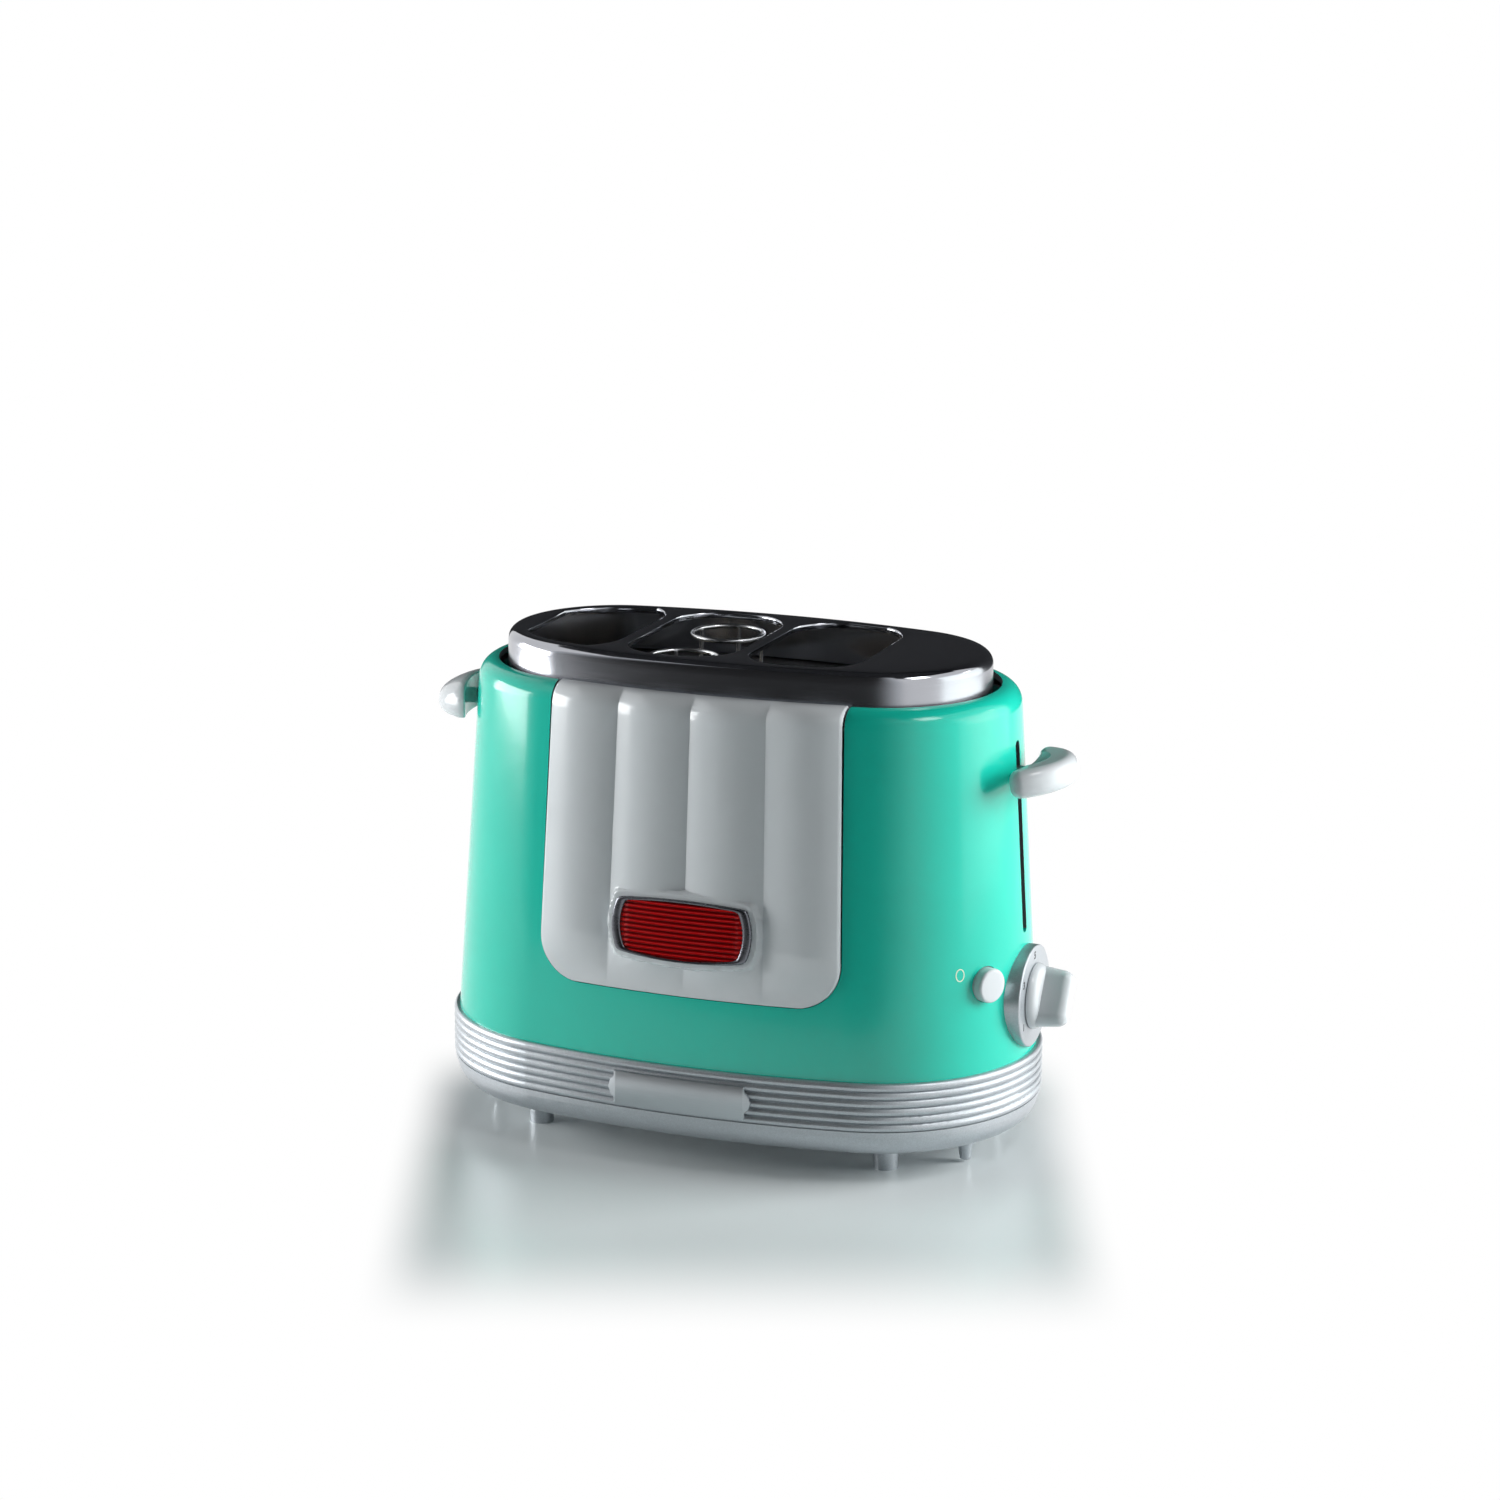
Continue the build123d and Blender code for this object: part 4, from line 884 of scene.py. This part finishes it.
# %% Dial numbers
number_places = ((1, -124), (3, -61), (5, -3))
number_radius, number_size, number_swell, number_sheet = 17.7, 4.4, 0.09, 0.04
facing = Matrix(((0, 1, 0), (0, 0, 1), (1, 0, 0))).transposed().to_4x4()
numbers = bmesh.new()
for number, angle in number_places:
    words = bpy.data.curves.new("number", "FONT")
    words.body = str(number)
    words.size = number_size * mm
    words.offset = number_swell * mm
    words.extrude = number_sheet * mm
    words.align_x = "CENTER"
    words.align_y = "CENTER"
    holder = bpy.data.objects.new("number", words)
    scene.collection.objects.link(holder)
    bpy.context.view_layer.update()
    flat = bpy.data.meshes.new_from_object(holder.evaluated_get(bpy.context.evaluated_depsgraph_get()))
    turn = math.radians(angle)
    spot = Vector((dial_face + 0.05, number_radius * math.sin(turn), dial_z + number_radius * math.cos(turn)))
    flat.transform(Matrix.Translation(spot * mm) @ facing)
    numbers.from_mesh(flat)
    bpy.data.objects.remove(holder)
    bpy.data.meshes.remove(flat)
    bpy.data.curves.remove(words)
add_piece("dial_numbers", numbers, "dial_print", "housing", 60)

# %% [markdown]
# ## The stop button and its mark
# A white cap pushes in beside the dial, with a plain ring printed on the shell next to it. The cap is a
# cylinder with a soft rim, laid along the end's radius. The print could be a mask in the shell's finish,
# but thin geometry stays sharp at any distance.

# %% Stop button
button_radius, cap_base, cap_face, cap_rim = 7.3, 59.6, 70.6, 1.3
button = bmesh.new()
bmesh.ops.create_cone(button, cap_ends=True, segments=64, radius1=button_radius * mm,
                      radius2=button_radius * mm, depth=1 * mm)
for vert in button.verts:
    vert.co.z = (cap_face - cap_base if vert.co.z > 0 else 0) * mm
face_rim = [edge for edge in button.edges if min(v.co.z for v in edge.verts) > 1 * mm]
round_over(button, face_rim, cap_rim, 5)
bmesh.ops.transform(button, matrix=radial_frame(button_angle, button_z, cap_base), verts=button.verts)
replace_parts(add_piece("stop_cap", button, "white_gloss", "button", 40), "stop_button")

mark_angle, mark_z, mark_sheet, mark_sink = -39.5, 88.0, 0.14, 0.05
ring_mark = bmesh.new()
for tall, wide in ((2.75, 2.15), (2.3, 1.7)):
    bmesh.ops.create_circle(ring_mark, segments=48, radius=1,
                            matrix=Matrix.Diagonal((wide * mm, tall * mm, 1, 1)))
bmesh.ops.bridge_loops(ring_mark, edges=list(ring_mark.edges))
raise_faces(ring_mark, (0, 0, mark_sheet))
mark_place = radial_frame(mark_angle, mark_z, end_radius + wall_offset(mark_z) - mark_sink)
bmesh.ops.transform(ring_mark, matrix=mark_place @ Matrix.Rotation(-lean, 4, "X"), verts=ring_mark.verts)
add_piece("stop_mark", ring_mark, "mark_print", "housing", 60)

# %% [markdown]
# ## The left lever
# A moulded lobe works one of the two lifts. Its back follows the shell's round end and its nose draws back
# towards the top, so level outlines are bridged from the foot up. A spun section would be quicker, but it
# has no blunt ends. A root behind it takes the lift's stem.

# %% Left lever
lever_reach = -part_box("lift_lever")[0][0] / mm - 0.01
lever_back, nose_radius, lever_foot, lever_corner = 65.9, 26.0, 170.6, 0.7
blunt, thinnest, lobe_steps = 3.0, 0.4, 28
lever_levels = ((3.6, 0), (2.0, 0.45), (0.9, 1.3), (0.2, 2.7), (0, 4.4), (0.3, 6.3), (1.2, 8.2), (2.8, 10.0),
                (5.0, 11.6), (7.6, 13.0), (10.2, 14.1), (12.2, 14.7), (13.0, 14.9))


def lobe_depth(y, drawn_in):
    """How far the nose stands in front of the back at one place across the lever."""
    nose = lever_reach - end_centre - nose_radius - drawn_in + math.sqrt(nose_radius**2 - y * y)
    return nose - math.sqrt(lever_back**2 - y * y)


lobe = bmesh.new()
outlines = []
for drawn_in, up in lever_levels:
    half = nose_radius - 0.5
    while lobe_depth(half, drawn_in) < min(blunt, lobe_depth(0, drawn_in) - thinnest):
        half -= 0.02
    places = [half * (2 * step / lobe_steps - 1) for step in range(lobe_steps + 1)]
    back = [(-end_centre - math.sqrt(lever_back**2 - y * y), y) for y in places]
    nose_line = [(x - lobe_depth(y, drawn_in), y) for x, y in reversed(back)]
    ring = [lobe.verts.new(Vector((x, y, lever_foot + up)) * mm) for x, y in back + nose_line]
    outlines.append([lobe.edges.new(pair) for pair in zip(ring, ring[1:] + ring[:1])])
bridge_all(lobe, outlines)
bmesh.ops.holes_fill(lobe, edges=outlines[0] + outlines[-1], sides=0)
bmesh.ops.recalc_face_normals(lobe, faces=lobe.faces)
corners = [edge for edge in lobe.edges if edge.calc_face_angle(0) > math.radians(48)]
round_over(lobe, corners, lever_corner, 3)
stretched_cube(lobe, (-127.4, 0, 175.5), (5.2, 9, 6))
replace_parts(add_piece("left_lever", lobe, "white_gloss", "sausage_lift", 42), "lift_lever")

# %% [markdown]
# ## Heater ribbons
# Flat resistance ribbon is wound across each mica board. One long bent strip would be hidden for the most
# part, so short flat bars stand for its turns. They leave the slot that the lift bar slides in.

# %% Heater ribbons
ribbon_pitch, ribbon_wide, ribbon_thick, ribbon_margin = 7.5, 2.2, 0.36, 2
first_turn, last_turn, lift_slot_half, lift_slot_top = 10, 8, 6.5, 146
ribbons = bmesh.new()
for node, facing_both in (("left_outer_heater", False), ("left_inner_heater", True),
                          ("right_inner_heater", True), ("right_outer_heater", True)):
    low, high = (Vector(corner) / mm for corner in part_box(node))
    ends = low.y + ribbon_margin, high.y - ribbon_margin
    for x in (low.x, high.x) if facing_both else (high.x,):
        z = low.z + first_turn
        while z < high.z - last_turn:
            spans = (ends,) if z > lift_slot_top else (
                (ends[0], -lift_slot_half), (lift_slot_half, ends[1]))
            for start, end in spans:
                stretched_cube(ribbons, (x, (start + end) / 2, z), (ribbon_thick, end - start, ribbon_wide))
            z += ribbon_pitch
add_piece("heater_ribbons", ribbons, "ribbon_alloy", "housing")

# %% [markdown]
# ## Return springs
# A coil stands under each carriage, round its guide rod. A curve with a bevel could make it, but a small
# ring of wire, spun with a rise at each step, gives an even mesh. Its foot stands on the base and its top
# reaches the carriage; it rides on no body, and its place is written into its mesh.

# %% Return springs
wire_radius, coil_radius, coil_turns, coil_steps = 0.6, 4.0, 9, 252
for node, body in (("bun_spring", "bun_lift"), ("sausage_spring", "sausage_lift")):
    low, high = (Vector(corner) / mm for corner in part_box(node))
    middle = (low.x + high.x) / 2
    foot, top = low.z + wire_radius, high.z - wire_radius
    coil = bmesh.new()
    upright = Matrix.Translation(Vector((middle + coil_radius, 0, foot)) * mm) @ Matrix.Rotation(
        math.pi / 2, 4, "X")
    hoop = bmesh.ops.create_circle(coil, segments=10, radius=wire_radius * mm, matrix=upright)["verts"]
    first_ring = list(coil.edges)
    turned = bmesh.ops.spin(coil, geom=hoop + first_ring, cent=(middle * mm, 0, 0), axis=(0, 0, 1),
                            dvec=(0, 0, (top - foot) / coil_steps * mm), angle=2 * math.pi * coil_turns,
                            steps=coil_steps, use_duplicate=False)
    last_ring = [edge for edge in turned["geom_last"] if isinstance(edge, bmesh.types.BMEdge)]
    for ring in (first_ring, last_ring):
        bmesh.ops.contextual_create(coil, geom=ring)
    bmesh.ops.recalc_face_normals(coil, faces=coil.faces)
    spring = add_piece(node.replace("spring", "coil"), coil, "wire_steel", None, 60)
    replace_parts(spring, node)
    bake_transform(spring)

# %% [markdown]
# ## The floor
# A pale floor keeps the shadow near the object and runs out to white. A white lamp on it would spill on to
# the object, so the white is an emission that only the camera and reflections see.

# %% Floor
side_fade, front_fade, back_fade = (0.118, 0.15), (0.15, 0.25), (0.02, 0.10)
rays_to_white = ("Is Camera Ray", "Is Glossy Ray", "Is Transmission Ray")
floor_finish = Finish("floor")


def seen_directly(tree):
    """One for the rays that should find a white background."""
    camera_ray, glossy_ray, glass_ray = (tree.add("ShaderNodeLightPath", out=name) for name in rays_to_white)
    return camera_ray + glossy_ray + glass_ray


def still_grey(direction, grey_until, white_from):
    """How grey the floor still is along one level direction."""
    along = floor_finish.add("ShaderNodeVectorMath", {"operation": "DOT_PRODUCT"},
                             {0: floor_finish.place, 1: direction}, "Value")
    return 1 - floor_finish.ramp(along, grey_until, white_from)


level_back = level_right.cross(Vector((0, 0, -1)))
grey = (still_grey(level_right, *side_fade) * still_grey(-level_right, *side_fade)
        * still_grey(-level_back, *front_fade) * still_grey(level_back, *back_fade))
cloudy = floor_finish.noise(3.0, 0.0)
matte = floor_finish.add("ShaderNodeBsdfPrincipled", None, {
    "Base Color": floor_finish.blend(cloudy, ink(226, 234, 235), ink(231, 238, 239)), "Roughness": 0.26})
white = floor_finish.add("ShaderNodeEmission", None, {"Color": (1, 1, 1, 1), "Strength": 1.0})
mixed = floor_finish.add("ShaderNodeMixShader", None, {
    0: (1 - grey) * seen_directly(floor_finish), 1: matte, 2: white})
floor_finish.add("ShaderNodeOutputMaterial", None, {"Surface": mixed})
ground = bmesh.new()
bmesh.ops.create_grid(ground, x_segments=1, y_segments=1, size=8)
floor = link_mesh("floor", ground, floor_finish.material)
print("floor", tuple(round(side, 1) for side in floor.dimensions), "m")

# %% [markdown]
# ## The world
# The camera and reflections find a plain white surrounding. The world's own light is a faint blue, because
# the soft boxes do the lighting.

# %% World
world = bpy.data.worlds.new("studio")
scene.world = world
world.use_nodes = True
surrounding = Tree(world.node_tree)
faint = surrounding.add("ShaderNodeBackground", None, {"Color": (0.82, 0.93, 1.0, 1), "Strength": 0.02})
backdrop = surrounding.add("ShaderNodeBackground", None, {"Color": (1, 1, 1, 1)})
either = surrounding.add("ShaderNodeMixShader", None, {0: seen_directly(surrounding), 1: faint, 2: backdrop})
surrounding.add("ShaderNodeOutputWorld", None, {"Surface": either})
print(len(world.node_tree.nodes), "nodes in the world")

# %% [markdown]
# ## Soft boxes
# Two large soft boxes stand at the sides, and a small one high up gives the rims a sparkle. Glowing planes
# would do too, but area lamps give less noise.


# %% Soft boxes
def soft_box(name, spot, aim_height, wide, tall, watts):
    light = bpy.data.lights.new(name, "AREA")
    light.shape = "RECTANGLE"
    light.size, light.size_y, light.energy = wide, tall, watts
    lamp = bpy.data.objects.new(name, light)
    lamp.location = spot
    way = Vector((0, 0, aim_height)) - Vector(spot)
    lamp.rotation_euler = way.to_track_quat("-Z", "Y").to_euler()
    scene.collection.objects.link(lamp)
    print(name, watts, "W")


soft_box("left_box", (-1.15, -0.30, 0.32), 0.11, 0.95, 0.56, 15.5)
soft_box("right_box", (1.12, 0.42, 0.42), 0.11, 0.7, 0.72, 22)
soft_box("high_box", (0.62, -0.2, 0.95), 0.1, 0.26, 0.26, 1.4)

# %% [markdown]
# ## Cards
# Polished metal is only as dark as what it reflects. Dark cards, which only reflections show, give the lid
# its black middle, and a dim screen gives the right end a broad band in its gloss.


# %% Cards that only reflections show
def place_card(name, low, high, shade):
    card = link_mesh(name, block_between(low, high), shade.material)
    card.visible_camera = card.visible_diffuse = False
    card.visible_shadow = card.visible_transmission = False


def glow_card(name, low, high, strength):
    """A dim screen for a broad band in the gloss."""
    shade = Finish(name)
    shade.surface(Base_Color=(0, 0, 0, 1), Roughness=0.9, Emission_Color=(0.95, 1, 0.98, 1),
                  Emission_Strength=strength)
    place_card(name, low, high, shade)


def dark_card(name, low, high, tone, dark_span=None):
    """A dark card, with ends that glow beyond its dark span."""
    shade = Finish(name)
    glow = black = (0, 0, 0, 1)
    if dark_span:
        across = shade.along("X")
        ends = [shade.ramp(across, inner * mm, outer * mm)
                for inner, outer in zip(dark_span, (low[0], high[0]))]
        glow = shade.blend(ends[0] + ends[1], black, (0.7, 0.72, 0.74, 1))
    shade.surface(Base_Color=ink(*tone), Roughness=0.9, Emission_Color=glow, Emission_Strength=1.0)
    place_card(name, low, high, shade)


dark_card("front_card", (-620, -430, 1), (420, -420, 1500), (5, 5, 7), (-330, 160))
dark_card("back_card", (-900, 900, 40), (700, 910, 1500), (22, 23, 27))
glow_card("right_screen", (760, -90, 1), (770, 900, 620), 1.9)
dark_card("ceiling_card", (-900, -700, 1500), (900, 900, 1510), (22, 23, 27))
print("studio ready")
